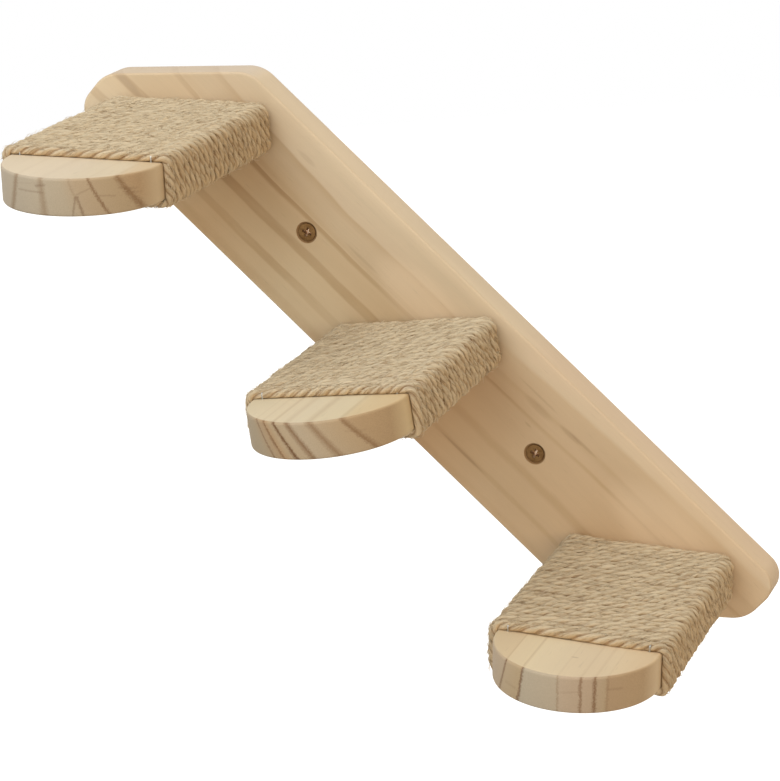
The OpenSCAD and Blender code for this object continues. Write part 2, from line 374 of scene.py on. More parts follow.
class Bench:
    """Adds nodes to a new material and links them, so that a finish reads as a short recipe."""

    def __init__(self, name):
        self.material = bpy.data.materials.new(name)
        self.material.use_nodes = True
        self.tree = self.material.node_tree
        self.tree.nodes.clear()

    def add(self, kind, inputs, **settings):
        """A node with its settings, and each input either linked to a socket or set to a value."""
        made = self.tree.nodes.new(kind)
        for key, value in settings.items():
            setattr(made, key, value)
        for key, value in inputs.items():
            if isinstance(value, bpy.types.NodeSocket):
                self.tree.links.new(value, made.inputs[key])
            else:
                made.inputs[key].default_value = value
        return made

    def place(self):
        """The point's place in the piece's own frame, in metres."""
        return self.add("ShaderNodeTexCoord", {}).outputs["Object"]

    def facing(self):
        """The surface's own normal in the piece's frame."""
        return self.add("ShaderNodeTexCoord", {}).outputs["Normal"]

    def attribute(self, name, output="Fac"):
        """A value that the mesh carries."""
        return self.add("ShaderNodeAttribute", {}, attribute_name=name).outputs[output]

    def maths(self, operation, first, second=0.0, third=0.0, clamp=False):
        """One sum on numbers."""
        values = {0: first, 1: second, 2: third}
        return self.add("ShaderNodeMath", values, operation=operation, use_clamp=clamp).outputs[0]

    def along(self, vector, axis):
        """How far a place lies along an axis."""
        dot = self.add("ShaderNodeVectorMath", {0: vector, 1: axis}, operation="DOT_PRODUCT")
        return dot.outputs["Value"]

    def apart(self, first, second):
        """The distance between two places."""
        far = self.add("ShaderNodeVectorMath", {0: first, 1: second}, operation="DISTANCE")
        return far.outputs["Value"]

    def offset(self, vector, origin):
        """A place seen from an origin."""
        return self.add("ShaderNodeVectorMath", {0: vector, 1: origin}, operation="SUBTRACT").outputs[0]

    def stretch(self, vector, scales):
        """A place with each of its axes scaled."""
        return self.add("ShaderNodeVectorMath", {0: vector, 1: scales}, operation="MULTIPLY").outputs[0]

    def vector(self, first, second, third):
        """A vector from three numbers."""
        return self.add("ShaderNodeCombineXYZ", {0: first, 1: second, 2: third}).outputs[0]

    def noise(self, vector, detail=2.0, roughness=0.5):
        """Noise between 0 and 1."""
        values = {"Vector": vector, "Scale": 1.0, "Detail": detail, "Roughness": roughness}
        return self.add("ShaderNodeTexNoise", values).outputs[0]

    def span(self, value, low, high, to_low=0.0, to_high=1.0, smooth=False):
        """Carries one range of a number onto another, and stops at its ends."""
        values = {0: value, 1: low, 2: high, 3: to_low, 4: to_high}
        kind = "SMOOTHSTEP" if smooth else "LINEAR"
        return self.add("ShaderNodeMapRange", values, interpolation_type=kind).outputs[0]

    def ramp(self, value, stops):
        """Colours along a number, from stops of a place between 0 and 1 and a colour."""
        made = self.add("ShaderNodeValToRGB", {0: value})
        elements = made.color_ramp.elements
        elements[0].position = stops[0][0]
        elements[0].color = (*stops[0][1], 1.0)
        elements[1].position = stops[-1][0]
        elements[1].color = (*stops[-1][1], 1.0)
        for at, colour in stops[1:-1]:
            elements.new(at).color = (*colour, 1.0)
        return made.outputs[0]

    def blend(self, share, first, second, mode="MIX"):
        """Two colours blended by a share."""
        padded = [(*value, 1.0) if isinstance(value, tuple) else value for value in (first, second)]
        values = {0: share, 6: padded[0], 7: padded[1]}
        return self.add("ShaderNodeMix", values, data_type="RGBA", blend_type=mode).outputs[2]

    def shade(self, colour, level):
        """A colour made lighter or darker by a level."""
        return self.blend(1.0, colour, self.vector(level, level, level), mode="MULTIPLY")

    def bump(self, height, distance, strength):
        """A bumped normal from a height."""
        values = {"Height": height, "Distance": distance, "Strength": strength}
        return self.add("ShaderNodeBump", values).outputs[0]

    def finish(self, inputs):
        """The shader and the output, and then the material itself."""
        shader = self.add("ShaderNodeBsdfPrincipled", inputs)
        self.add("ShaderNodeOutputMaterial", {0: shader.outputs[0]})
        return self.material


def give_finish(made, material, nodes):
    """Gives a piece its material and body, and the solids that it stands for."""
    made.data.materials.clear()
    made.data.materials.append(material)
    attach(made, "root")
    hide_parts(*nodes)


# Pine. The colours of the wood are given as screen levels that they have in this stage's light, where a
# front face gets less light than a top face, so each list is divided by its faces' shares of the light.

FRONT_LIGHT = (0.94, 0.9, 0.865)
NOSE_LIGHT = (1.0, 0.96, 0.925)
TOP_LIGHT = (1.055, 1.05, 1.06)
LATEWOOD = (96, 58, 26)
BOARD_LATEWOOD = (98, 54, 8)

# Painted shade: the shares of red, green and blue left where the board's front is darker and browner in the
# shade below each step.
BELOW_STEP_PAINTED_SHADE = (0.85, 0.76, 0.67)

# The board's painted light in paler places and at its paler upper and lower end, the painted sheen of its
# level top face, the painted shade of its eased edges, and its end grain.
PAINTED_LIGHT_WOOD = (236, 214, 182)
UPPER_END_PAINTED_LIGHT = (236, 218, 190)
LOWER_END_PAINTED_LIGHT = (236, 206, 166)
TOP_FACE_PAINTED_SHEEN = (196, 182, 166)
EASED_EDGE_PAINTED_SHADE = (168, 142, 108)
END_GRAIN_WOOD = (188, 152, 112)

# The board's rings: the share of the depth by which they slant, and the size of their waves and ripples.
RING_SLANT = 0.42
RING_WAVE = 3.5 * MM
RING_RIPPLE = 1.2 * MM

# How much the pine's fine fibres and its broad clouds lighten or darken it, and how dark its flecks are.
FIBRE_SWING = 0.05
CLOUD_SWING = 0.045
FLECK_DARKNESS = 0.09

# Half the width, in millimetres, over which the bands of the board and of a step are laid out.
BOARD_REACH = 60
STEP_REACH = 52

# The board's wood as place across and colour, and its rings as place across, half the width of the dark
# part, width of its soft lower and upper edge and strength, first above the middle step and then below it.
BOARD_ABOVE = {
    "wood": [
        (46, (216, 193, 160)),
        (38, (203, 181, 149)),
        (28, (203, 180, 148)),
        (26.8, (196, 171, 137)),
        (16, (196, 172, 138)),
        (2, (197, 171, 134)),
        (-20, (205, 181, 144)),
        (-43, (208, 184, 147)),
    ],
    "rings": [
        (26.6, 0.2, 4.5, 0.6, 0.11),
        (10.8, 0.8, 0.8, 1.6, 0.05),
        (7.6, 0.9, 1.6, 0.4, 0.25),
        (-9.7, 2.3, 0.8, 0.6, 0.25),
        (-26.1, 1.9, 1.0, 0.8, 0.17),
        (-39, 1.4, 2.0, 2.4, 0.09),
    ],
}
BOARD_BELOW = {
    "wood": [
        (46, (216, 189, 156)),
        (35.6, (208, 184, 151)),
        (33.2, (198, 170, 134)),
        (18, (200, 172, 136)),
        (2, (203, 174, 137)),
        (-20, (203, 174, 136)),
        (-43, (203, 174, 137)),
    ],
    "rings": [
        (21.4, 0.4, 3.0, 1.0, 0.08),
        (13.4, 0.3, 1.6, 0.5, 0.15),
        (-11.6, 1.0, 2.6, 2.0, 0.09),
        (-27.4, 0.7, 1.2, 1.2, 0.07),
        (-39, 0.6, 2.0, 2.0, 0.06),
    ],
}

# Painted light: paler places on the board's front, beside the middle and the lower step, where the steps'
# shade is eased, given as the marks below are.
PAINTED_LIGHT_PLACES = [
    (-15, 17, 32, 14, 0.42),
    (155, 19, 38, 18, 0.42),
]

# Brown marks on the board's front: place along and across, half length and half height, and strength.
BOARD_MARKS = [
    (87, 21.4, 8, 1.5, 0.16),
    (95, 22.4, 10, 1.0, 0.16),
    (66, 20.0, 10, 2.6, 0.12),
    (54, -28, 17, 0.9, 0.25),
    (-50, 11.2, 13, 1.0, 0.13),
    (-105, 30, 7, 1.6, 0.12),
    (68, 9.2, 2.6, 0.7, 0.16),
    (-200, -10.2, 11, 2.6, 0.34),
    (62, 25, 15, 0.7, 0.14),
]


def darkened(levels, share, latewood):
    """Screen levels taken towards the brown of latewood by a share."""
    return tuple(level + share * (late - level) for level, late in zip(levels, latewood))


def board_stops(bands, ringed):
    """Colour stops across the board: the wood's colours, and where they are ringed, each ring as a dark
    part with soft edges."""
    places = np.array([wood[0] for wood in bands["wood"]][::-1])
    colours = np.array([wood[1] for wood in bands["wood"]][::-1], dtype=float)
    stops = {float(place): tuple(colour) for place, colour in zip(places, colours)}
    if ringed:
        for middle, half, under, over, strength in bands["rings"]:
            for at, share in ((-half - under, 0.0), (-half, strength), (half, strength), (half + over, 0.0)):
                wood = plain(np.interp(middle + at, places, colours[:, k]) for k in range(3))
                stops[middle + at] = darkened(wood, share, BOARD_LATEWOOD)
    return sorted(stops.items())


def board_bands(bench, ring, bands, share):
    """Colours across the board, whose rings fade in and out by a share."""
    plain = band_ramp(bench, ring, board_stops(bands, False), BOARD_REACH, FRONT_LIGHT)
    ringed = band_ramp(bench, ring, board_stops(bands, True), BOARD_REACH, FRONT_LIGHT)
    return bench.blend(share, plain, ringed)


def smudges(bench, along, across, marks):
    """The strength of soft oblong marks at a place: each falls off from its middle to its rim."""
    total = 0.0
    for at_along, at_across, half_length, half_height, strength in marks:
        far = bench.maths("MULTIPLY_ADD", along, 1000 / half_length, -at_along / half_length)
        high = bench.maths("MULTIPLY_ADD", across, 1000 / half_height, -at_across / half_height)
        squares = bench.maths("ADD", bench.maths("MULTIPLY", far, far), bench.maths("MULTIPLY", high, high))
        total = bench.maths("ADD", total, bench.span(squares, 0.1, 1.2, strength, 0.0, smooth=True))
    return total


def band_ramp(bench, across, bands, reach, light):
    """Growth rings: colours along a distance in metres, from stops in millimetres."""
    place = bench.span(across, -reach * MM, reach * MM)
    stops = sorted((0.5 + at / (2 * reach), lit_colour(levels, light)) for at, levels in bands)
    return bench.ramp(place, stops)


def wood_place(bench, along, across, through, scales):
    """A place in wood, along its grain, across it and through it, with each of these scaled."""
    parts = zip((along, across, through), scales)
    return bench.vector(*[bench.maths("MULTIPLY", part, scale) for part, scale in parts])


def pine_surface(bench, colour, along, across, through, end_share, end_colour):
    """Adds fine fibres, resin flecks and end grain to ring colours, and finishes planed, sanded pine.

    The fibres, flecks and clouds are noise that is drawn out along the grain, and the end grain is where
    the face looks along the grain.
    """
    fibres = wood_place(bench, along, across, through, (22.0, 1900.0, 1900.0))
    fibre = bench.noise(fibres, detail=3.0, roughness=0.6)
    flecks = wood_place(bench, along, across, through, (120.0, 1300.0, 1300.0))
    fleck = bench.span(bench.noise(flecks, detail=1.0, roughness=0.4), 0.68, 0.8)
    clouds = wood_place(bench, along, across, through, (9.0, 60.0, 60.0))
    cloud = bench.noise(clouds, detail=3.0, roughness=0.55)
    level = bench.maths("MULTIPLY_ADD", fibre, 2 * FIBRE_SWING, 1 - FIBRE_SWING)
    cloud_level = bench.span(cloud, 0.25, 0.75, 1 - CLOUD_SWING, 1 + CLOUD_SWING)
    level = bench.maths("MULTIPLY", level, cloud_level)
    level = bench.maths("SUBTRACT", level, bench.maths("MULTIPLY", fleck, FLECK_DARKNESS))
    toned = bench.shade(colour, level)
    pores = wood_place(bench, along, across, through, (40.0, 2600.0, 2600.0))
    pore = bench.noise(pores, roughness=0.7)
    end_toned = bench.shade(end_colour, bench.span(pore, 0.35, 0.65, 0.93, 1.04))
    height = bench.maths("ADD", fibre, bench.maths("MULTIPLY", pore, end_share))
    return bench.finish(
        {
            "Base Color": bench.blend(end_share, toned, end_toned),
            "Roughness": bench.span(fibre, 0.3, 0.7, 0.56, 0.68),
            "Normal": bench.bump(height, distance=0.12 * MM, strength=0.5),
            "IOR": 1.46,
            "Specular IOR Level": 0.35,
            "Sheen Weight": 0.05,
            "Sheen Roughness": 0.4,
        }
    )


def board_ring_place(bench, along, across, depth):
    """Where a point lies among the board's rings: its distance across, plus a share of the depth, a slow
    wave and fine ripples. The rings also bend aside at the board's upper end, and in its upper half below
    the upper and below the middle step."""
    waves = wood_place(bench, along, across, depth, (11.0, 14.0, 10.0))
    wave = bench.maths("SUBTRACT", bench.noise(waves), 0.5)
    ripples = wood_place(bench, along, across, depth, (45.0, 60.0, 60.0))
    ripple = bench.maths("SUBTRACT", bench.noise(ripples), 0.5)
    end_bend = bench.span(along, -200 * MM, -135 * MM, -8.5 * MM, 0.0)
    end_bend = bench.maths("MULTIPLY", end_bend, bench.span(across, -5 * MM, 6 * MM))
    below_upper = bench.span(along, -124 * MM, -70 * MM, 0.0, 2.9 * MM)
    below_middle = bench.span(along, 30 * MM, 120 * MM, 0.0, -4.4 * MM)
    step_bend = bench.maths("ADD", below_upper, below_middle)
    step_bend = bench.maths("MULTIPLY", step_bend, bench.span(across, 0.0, 22 * MM))
    bent = bench.maths("ADD", across, bench.maths("ADD", end_bend, step_bend))
    ring = bench.maths("MULTIPLY_ADD", depth, RING_SLANT, bent)
    ring = bench.maths("MULTIPLY_ADD", wave, RING_WAVE, ring)
    return bench.maths("MULTIPLY_ADD", ripple, RING_RIPPLE, ring)


def board_wood(bench, place, along, across, depth):
    """The colours of the board's rings.

    Above and below the middle step the front has its own bands, which meet behind the step, and the back
    has the lower ones all over. On the front the bands get a painted brown shade below each step.
    """
    ring = board_ring_place(bench, along, across, depth)
    patches = bench.vector(bench.maths("MULTIPLY", along, 14.0), bench.maths("MULTIPLY", ring, 90.0), 0.0)
    fading = bench.span(bench.noise(patches), 0.36, 0.56, 0.5, 1.0)
    upper_fading = bench.maths("MULTIPLY", fading, bench.span(along, -110 * MM, -50 * MM, 1.0, 0.7))
    off_back = bench.span(depth, 2 * MM, 16 * MM, 1.0, 0.0)
    upper = board_bands(bench, ring, BOARD_ABOVE, upper_fading)
    # Painted shade: the front is made browner in the shade below the upper step.
    starting = bench.span(along, -165 * MM, -135 * MM)
    ending = bench.span(along, -122 * MM, -70 * MM, 1.0, 0.0)
    browner = bench.maths("MULTIPLY", starting, ending)
    browner = bench.maths("MULTIPLY", browner, bench.span(across, 27 * MM, 12 * MM))
    upper = bench.blend(bench.maths("MULTIPLY", browner, off_back), upper, BELOW_STEP_PAINTED_SHADE, mode="MULTIPLY")
    lower = board_bands(bench, ring, BOARD_BELOW, fading)
    # Painted shade: the front is made browner in the shade below the middle and the lower step.
    below_middle = bench.span(along, 35 * MM, 75 * MM, 1.0, 0.15)
    below_lower = bench.span(along, 185 * MM, 205 * MM, 0.0, 0.4)
    browner = bench.maths("ADD", below_middle, below_lower)
    browner = bench.maths("MULTIPLY", browner, bench.span(across, 30 * MM, 15 * MM))
    lower = bench.blend(bench.maths("MULTIPLY", browner, off_back), lower, BELOW_STEP_PAINTED_SHADE, mode="MULTIPLY")
    height = bench.along(place, (0.0, 0.0, 1.0))
    share = bench.span(height, -12 * MM, 12 * MM, smooth=True)
    share = bench.maths("MULTIPLY", share, bench.span(depth, 15.5 * MM, 17.8 * MM, 1.0, 0.0))
    return bench.blend(share, lower, upper)


def board_pine(steps, colours):
    """Pine with its grain along the board, whose rings slant through the thickness.

    The front has paler places of painted light and brown marks, both ends of the board are paler by painted
    light, its level top face has a painted sheen and its eased edges a painted shade. The countersinks of the
    wall screws are bronze-brown: their darker cut wood, with painted shade in the recess.
    """
    bench = Bench("pine_board")
    place = bench.place()
    half = math.sqrt(0.5)
    along = bench.along(place, (half, 0.0, -half))
    across = bench.along(place, (half, 0.0, half))
    depth = bench.maths("ADD", bench.along(place, (0.0, 1.0, 0.0)), BOARD_DEPTH)
    colour = board_wood(bench, place, along, across, depth)
    on_front = bench.span(depth, 0.0, 2 * MM, 1.0, 0.0)
    # Painted light: paler places beside the middle and the lower step, where the steps' shade is eased.
    pale = bench.maths("MULTIPLY", smudges(bench, along, across, PAINTED_LIGHT_PLACES), on_front)
    colour = bench.blend(pale, colour, screen_colour(*PAINTED_LIGHT_WOOD))
    mark = bench.maths("MULTIPLY", smudges(bench, along, across, BOARD_MARKS), on_front)
    colour = bench.blend(mark, colour, screen_colour(*LATEWOOD))
    # Painted light: both ends of the board are made paler, standing for the light that falls on them.
    upper_end_light = bench.span(along, -165 * MM, -140 * MM, 0.3, 0.0)
    colour = bench.blend(upper_end_light, colour, screen_colour(*UPPER_END_PAINTED_LIGHT))
    lower_end_light = bench.span(along, 110 * MM, 160 * MM, 0.0, 0.18)
    colour = bench.blend(lower_end_light, colour, screen_colour(*LOWER_END_PAINTED_LIGHT))
    normal = bench.facing()
    # Painted sheen: faces that look up are blended to a paler, greyer colour.
    upward = bench.span(bench.along(normal, (0.0, 0.0, 1.0)), 0.8, 0.95, 0.0, 0.4)
    colour = bench.blend(upward, colour, screen_colour(*TOP_FACE_PAINTED_SHEEN))
    # Painted shade: the eased edges, which catch the most light, are darkened.
    facing_out = bench.maths("ABSOLUTE", bench.along(normal, (0.0, 1.0, 0.0)))
    eased = bench.maths("MULTIPLY", bench.span(facing_out, 0.1, 0.4), bench.span(facing_out, 0.99, 0.8))
    colour = bench.blend(bench.maths("MULTIPLY", eased, 0.25), colour, screen_colour(*EASED_EDGE_PAINTED_SHADE))
    flat = bench.stretch(place, (1.0, 0.0, 1.0))
    # The countersinks' walls: partly their darker cut wood, partly painted shade in the recess.
    for screw in wall_screw_places(steps):
        apart = bench.apart(flat, (screw[0], 0.0, screw[2]))
        sunk_wall_and_shade = bench.span(apart, 5.5 * MM, 5.8 * MM, 1.0, 0.0)
        colour = bench.blend(sunk_wall_and_shade, colour, tuple(colours.countersink))
    end_share = bench.maths("ABSOLUTE", bench.along(normal, (half, 0.0, -half)))
    end_share = bench.span(end_share, 0.55, 1.0, 0.0, 0.45)
    end_colour = bench.blend(0.5, colour, screen_colour(*END_GRAIN_WOOD))
    return pine_surface(bench, colour, along, across, depth, end_share, end_colour)


# Each step's rings: how much they lean at two places across, the wood between them, and each ring's
# place, half width and strength on the long faces and on the nose. The wood is given as place, colour on
# the long faces and colour on the nose. The knots are given as the board's marks.
STEP_RINGS = [
    {
        "lean": (-20, -0.3, 13, 0.41),
        "wood": [
            (-52, (213, 196, 168), (178, 159, 132)),
            (-12, (215, 198, 171), (180, 163, 138)),
            (8, (215, 198, 171), (181, 163, 136)),
            (16, (214, 197, 168), (181, 157, 126)),
            (31, (213, 195, 164), (180, 154, 119)),
            (36, (208, 184, 148), (180, 148, 110)),
            (52, (206, 180, 142), (181, 148, 108)),
        ],
        "rings": [
            (-19.5, 2.3, 0.03, 0.36),
            (-2.5, 2.5, 0.03, 0.26),
            (13.5, 0.9, 0.02, 0.12),
            (22.5, 0.9, 0.04, 0.58),
            (33, 1.6, 0.05, 0.44),
        ],
        "checks": [
            (-16.1, 2.2, -2.0, 2.2, 0.7, 0.22),
            (-16.7, 5.1, -4.4, 6.4, 0.5, 0.08),
            (-5.5, 5.1, -0.8, 5.8, 0.9, 0.3),
            (13.4, 0.3, 11.8, -9.0, 0.7, 0.36),
            (14.2, 0.3, 16.5, -9.0, 0.8, 0.4),
            (14.1, 1.6, 19.7, 4.2, 0.6, 0.18),
            (22.9, 0.6, 28.7, -0.3, 0.6, 0.2),
            (30.0, 3.1, 35.1, 1.6, 0.7, 0.16),
            (32.7, 0.8, 36.3, -0.7, 0.6, 0.12),
        ],
    },
    {
        "lean": (-22, 0.45, -8, 0.68),
        "wood": [
            (-52, (216, 202, 170), (171, 152, 123)),
            (-24, (218, 203, 172), (171, 150, 120)),
            (-13.9, (217, 201, 170), (178, 145, 107)),
            (-11, (217, 201, 170), (180, 154, 119)),
            (4, (218, 203, 173), (182, 161, 132)),
            (24, (216, 200, 166), (180, 153, 118)),
            (29, (212, 190, 150), (177, 147, 110)),
            (52, (208, 180, 136), (179, 148, 108)),
        ],
        "rings": [
            (-19.9, 0.8, 0.05, 0.5),
            (-14.6, 1.5, 0.06, 0.55),
            (-8, 1.7, 0.12, 0.85),
            (-0.1, 2.6, 0.09, 0.52),
            (11.4, 3.0, 0.11, 0.38),
            (25.1, 2.7, 0.09, 0.42),
        ],
        "checks": [
            (21, 2.6, 28, 1.2, 0.9, 0.08),
            (-16, 1.0, -13.4, -2.6, 0.9, 0.2),
        ],
    },
    {
        "lean": (-26, -0.26, 0, 0.0),
        "wood": [
            (-52, (212, 192, 158), (184, 162, 134)),
            (-27.5, (211, 190, 155), (183, 159, 129)),
            (-26, (216, 197, 163), (184, 159, 125)),
            (-17, (216, 198, 164), (180, 154, 118)),
            (-15, (219, 202, 169), (181, 164, 138)),
            (2, (218, 200, 168), (181, 163, 137)),
            (4.5, (217, 198, 166), (184, 161, 134)),
            (17, (216, 196, 164), (182, 157, 129)),
            (22.5, (217, 197, 164), (179, 155, 123)),
            (24.5, (217, 196, 162), (175, 146, 112)),
            (34, (214, 190, 154), (180, 150, 113)),
            (52, (210, 183, 144), (183, 152, 112)),
        ],
        "rings": [
            (-26.9, 0.8, 0.12, 0.72),
            (-16.4, 1.6, 0.13, 0.78),
            (2.8, 0.7, 0.05, 0.26),
            (12.8, 0.9, 0.06, 0.52),
            (18.6, 1.1, 0.06, 0.62),
            (23.7, 0.7, 0.04, 0.22),
        ],
        "checks": [
            (4.4, 1.1, 11.6, 2.0, 0.8, 0.1),
            (24.2, 2.6, 28.9, 2.1, 0.9, 0.16),
            (-24.5, -2.0, -19.0, -2.6, 0.9, 0.12),
        ],
        "knots": [(138.6, 3.8, 0.9, 2.2, 0.22)],
    },
]


def step_bands(rings, face):
    """Colour stops for the long faces (1) or for the nose (2): the wood's own colours, and at each ring
    a dip that is sharp on its far side, as late wood is."""
    places = np.array([wood[0] for wood in rings["wood"]])
    colours = np.array([wood[face] for wood in rings["wood"]], dtype=float)
    stops = {float(place): tuple(colour) for place, colour in zip(places, colours)}
    for place, half, *strengths in rings["rings"]:
        dark = strengths[face - 1]
        for at, share in ((place - half, 0.0), (place + 0.15 * half, dark), (place + half, 0.0)):
            wood = plain(np.interp(at, places, colours[:, k]) for k in range(3))
            stops[at] = darkened(wood, share, LATEWOOD)
    return sorted(stops.items())


def checks_on_end(bench, across, through, checks):
    """The strength of fine cracks in end grain: each is a line between two points, given in millimetres
    with its half width and strength, and falls off with the distance from that line."""
    place = bench.vector(across, through, 0.0)
    total = 0.0
    for from_across, from_through, to_across, to_through, half, strength in checks:
        start = (from_across * MM, from_through * MM, 0.0)
        run = np.array([(to_across - from_across) * MM, (to_through - from_through) * MM, 0.0])
        offset = bench.offset(place, start)
        gone = bench.along(offset, plain(run / (run @ run)))
        gone = bench.maths("MULTIPLY", gone, 1.0, clamp=True)
        nearest = bench.stretch(bench.vector(gone, gone, gone), plain(run))
        apart = bench.apart(offset, nearest)
        total = bench.maths("ADD", total, bench.span(apart, 0.2 * half * MM, half * MM, strength, 0.0))
    return total


def step_pine(steps, rank):
    """Pine with its grain along a step.

    A ring's place is the distance across, plus a lean through the thickness that changes across the step,
    plus a slow wave, which each step takes from its own stretch of the noise. The nose shows the rings'
    ends, with rough edges, and its cracks.
    """
    rings = STEP_RINGS[rank]
    bench = Bench(f"pine_{RANKS[rank]}_step")
    place = bench.place()
    right, top = step_axes(steps.turns[rank])
    offset = bench.offset(place, plain(step_origin(steps, rank)))
    across = bench.along(offset, plain(right))
    through = bench.along(offset, plain(top))
    along = bench.along(offset, (0.0, -1.0, 0.0))
    waves = bench.vector(
        bench.maths("MULTIPLY_ADD", along, 7.0, 3.7 * rank),
        bench.maths("MULTIPLY", across, 40.0),
        bench.maths("MULTIPLY", through, 40.0),
    )
    wave = bench.maths("SUBTRACT", bench.noise(waves), 0.5)
    from_mm, from_lean, to_mm, to_lean = rings["lean"]
    lean = bench.span(across, from_mm * MM, to_mm * MM, from_lean, to_lean)
    ring = bench.maths("MULTIPLY_ADD", through, lean, across)
    ring = bench.maths("MULTIPLY_ADD", wave, 1.6 * MM, ring)
    long_colour = band_ramp(bench, ring, step_bands(rings, 1), STEP_REACH, TOP_LIGHT)
    roughness = bench.stretch(offset, (1500.0, 60.0, 1500.0))
    rough_edge = bench.maths("SUBTRACT", bench.noise(roughness, detail=3.0, roughness=0.65), 0.5)
    end_ring = bench.maths("MULTIPLY_ADD", rough_edge, 3.0 * MM, ring)
    end_colour = band_ramp(bench, end_ring, step_bands(rings, 2), STEP_REACH, NOSE_LIGHT)
    wavy_across = bench.maths("MULTIPLY_ADD", rough_edge, 1.6 * MM, across)
    wavy_through = bench.maths("MULTIPLY_ADD", rough_edge, 1.6 * MM, through)
    cracked = checks_on_end(bench, wavy_across, wavy_through, rings["checks"])
    end_colour = bench.blend(cracked, end_colour, screen_colour(*LATEWOOD))
    if "knots" in rings:
        on_top = bench.span(through, 0.0, 1 * MM)
        knot = bench.maths("MULTIPLY", smudges(bench, along, across, rings["knots"]), on_top)
        long_colour = bench.blend(knot, long_colour, screen_colour(*LATEWOOD))
    end_share = bench.maths("ABSOLUTE", bench.along(bench.facing(), (0.0, 1.0, 0.0)))
    end_share = bench.span(end_share, 0.12, 0.4)
    return pine_surface(bench, long_colour, along, across, through, end_share, end_colour)


# Jute and metals


def fibre_noise(bench, place, cross_scale, long_scale, detail=2.0, roughness=0.55):
    """Noise on the rope's own places that is finer across the fibres than along them."""
    return bench.noise(bench.stretch(place, (cross_scale, cross_scale, long_scale)), detail, roughness)


def jute_finish(colours):
    """Twisted jute: fibres drawn out along the strands, paler and browner ones among them, and painted
    shade between the strands. It has a painted sheen that makes it paler on top, and painted light that makes
    it a little greyer towards the room."""
    bench = Bench("jute_rope")
    place = bench.attribute("fibre", "Vector")
    groove = bench.attribute("groove")
    tone = bench.attribute("tone")
    long = fibre_noise(bench, place, 1400.0, 170.0, detail=3.0, roughness=0.65)
    fine = fibre_noise(bench, place, 3600.0, 420.0, roughness=0.6)
    cloud = fibre_noise(bench, place, 420.0, 42.0, detail=3.0, roughness=0.6)
    mixed = bench.maths("MULTIPLY_ADD", long, 0.5, bench.maths("MULTIPLY_ADD", cloud, 0.8, tone))
    stops = [(0.3, tuple(colours.jute_pale)), (0.72, tuple(colours.jute)), (1.0, tuple(colours.jute_brown))]
    colour = bench.ramp(bench.maths("MULTIPLY", mixed, 0.6), stops)
    streak = bench.span(long, 0.3, 0.7, 0.82, 1.15)
    speck = bench.span(fine, 0.35, 0.7, 0.9, 1.08)
    colour = bench.shade(colour, bench.maths("MULTIPLY", streak, speck))
    bright = bench.span(fibre_noise(bench, place, 930.0, 100.0), 0.56, 0.66)
    gap = bench.span(fibre_noise(bench, place, 1130.0, 135.0), 0.42, 0.32)
    facing = bench.facing()
    upward = bench.along(facing, (0.0, 0.0, 1.0))
    # Painted sheen: faces that look up are blended to a paler, greyer colour.
    colour = bench.blend(bench.span(upward, -0.1, 0.75, 0.0, 0.45), colour, tuple(colours.jute_painted_top_sheen))
    roomward = bench.along(facing, (0.0, -1.0, 0.0))
    # Painted light: faces towards the room are a little greyer.
    colour = bench.blend(bench.span(roomward, 0.3, 0.9, 0.0, 0.2), colour, tuple(colours.jute_painted_front_light))
    colour = bench.blend(bench.maths("MULTIPLY", bright, 0.35), colour, tuple(colours.jute_pale))
    colour = bench.blend(bench.maths("MULTIPLY", gap, 0.42), colour, tuple(colours.jute_shade))
    # Painted shade in the grooves between strands and the crevices between turns.
    colour = bench.blend(bench.span(groove, 0.3, 1.0, 0.0, 0.75), colour, tuple(colours.jute_shade))
    raised = bench.maths("MULTIPLY", bench.maths("SUBTRACT", bright, gap), 0.35)
    height = bench.maths("MULTIPLY_ADD", long, 0.7, bench.maths("MULTIPLY_ADD", fine, 0.3, raised))
    return bench.finish(
        {
            "Base Color": colour,
            "Roughness": bench.span(long, 0.3, 0.7, 0.75, 0.95),
            "Normal": bench.bump(height, distance=0.7 * MM, strength=0.9),
            "Specular IOR Level": 0.1,
            "Sheen Weight": 0.12,
            "Sheen Roughness": 0.5,
            "Sheen Tint": (0.8, 0.58, 0.32, 1.0),
        }
    )


def bronze_finish(colours):
    """Satin bronze-brown plating, tarnished in soft clouds, with a fine grain and a painted highlight at the
    recess's foot.
    """
    bench = Bench("bronze_plating")
    place = bench.place()
    cloud = bench.noise(bench.stretch(place, (420.0, 420.0, 420.0)), detail=3.0, roughness=0.6)
    grain = bench.noise(bench.stretch(place, (2600.0, 900.0, 2600.0)), roughness=0.6)
    colour = bench.blend(bench.span(cloud, 0.35, 0.65), tuple(colours.bronze), tuple(colours.bronze_dark))
    # Painted highlight: the worn attribute marks the recess's foot, painted pale for a glint.
    colour = bench.blend(bench.attribute("worn"), colour, tuple(colours.bronze_painted_glint))
    rough = bench.span(grain, 0.3, 0.7, 0.42, 0.6)
    return bench.finish(
        {
            "Base Color": colour,
            "Metallic": 1.0,
            "Roughness": rough,
            "Normal": bench.bump(grain, distance=0.04 * MM, strength=0.4),
        }
    )


def zinc_finish(colours):
    """Bright zinc plating with a fine drawn grain."""
    bench = Bench("zinc_plating")
    place = bench.place()
    cloud = bench.noise(bench.stretch(place, (700.0, 700.0, 700.0)))
    grain = bench.noise(bench.stretch(place, (5000.0, 1200.0, 5000.0)), roughness=0.6)
    colour = bench.shade(tuple(colours.zinc), bench.span(cloud, 0.3, 0.7, 0.86, 1.06))
    return bench.finish(
        {
            "Base Color": colour,
            "Metallic": 1.0,
            "Roughness": bench.span(grain, 0.3, 0.7, 0.22, 0.38),
            "Normal": bench.bump(grain, distance=0.03 * MM, strength=0.3),
        }
    )


def shared_finish(name, make):
    """A finish that several pieces share, made by the first of them. Its name differs from its slot's name."""
    return bpy.data.materials.get(name) or make(bpy.context.scene.ladder_colours)


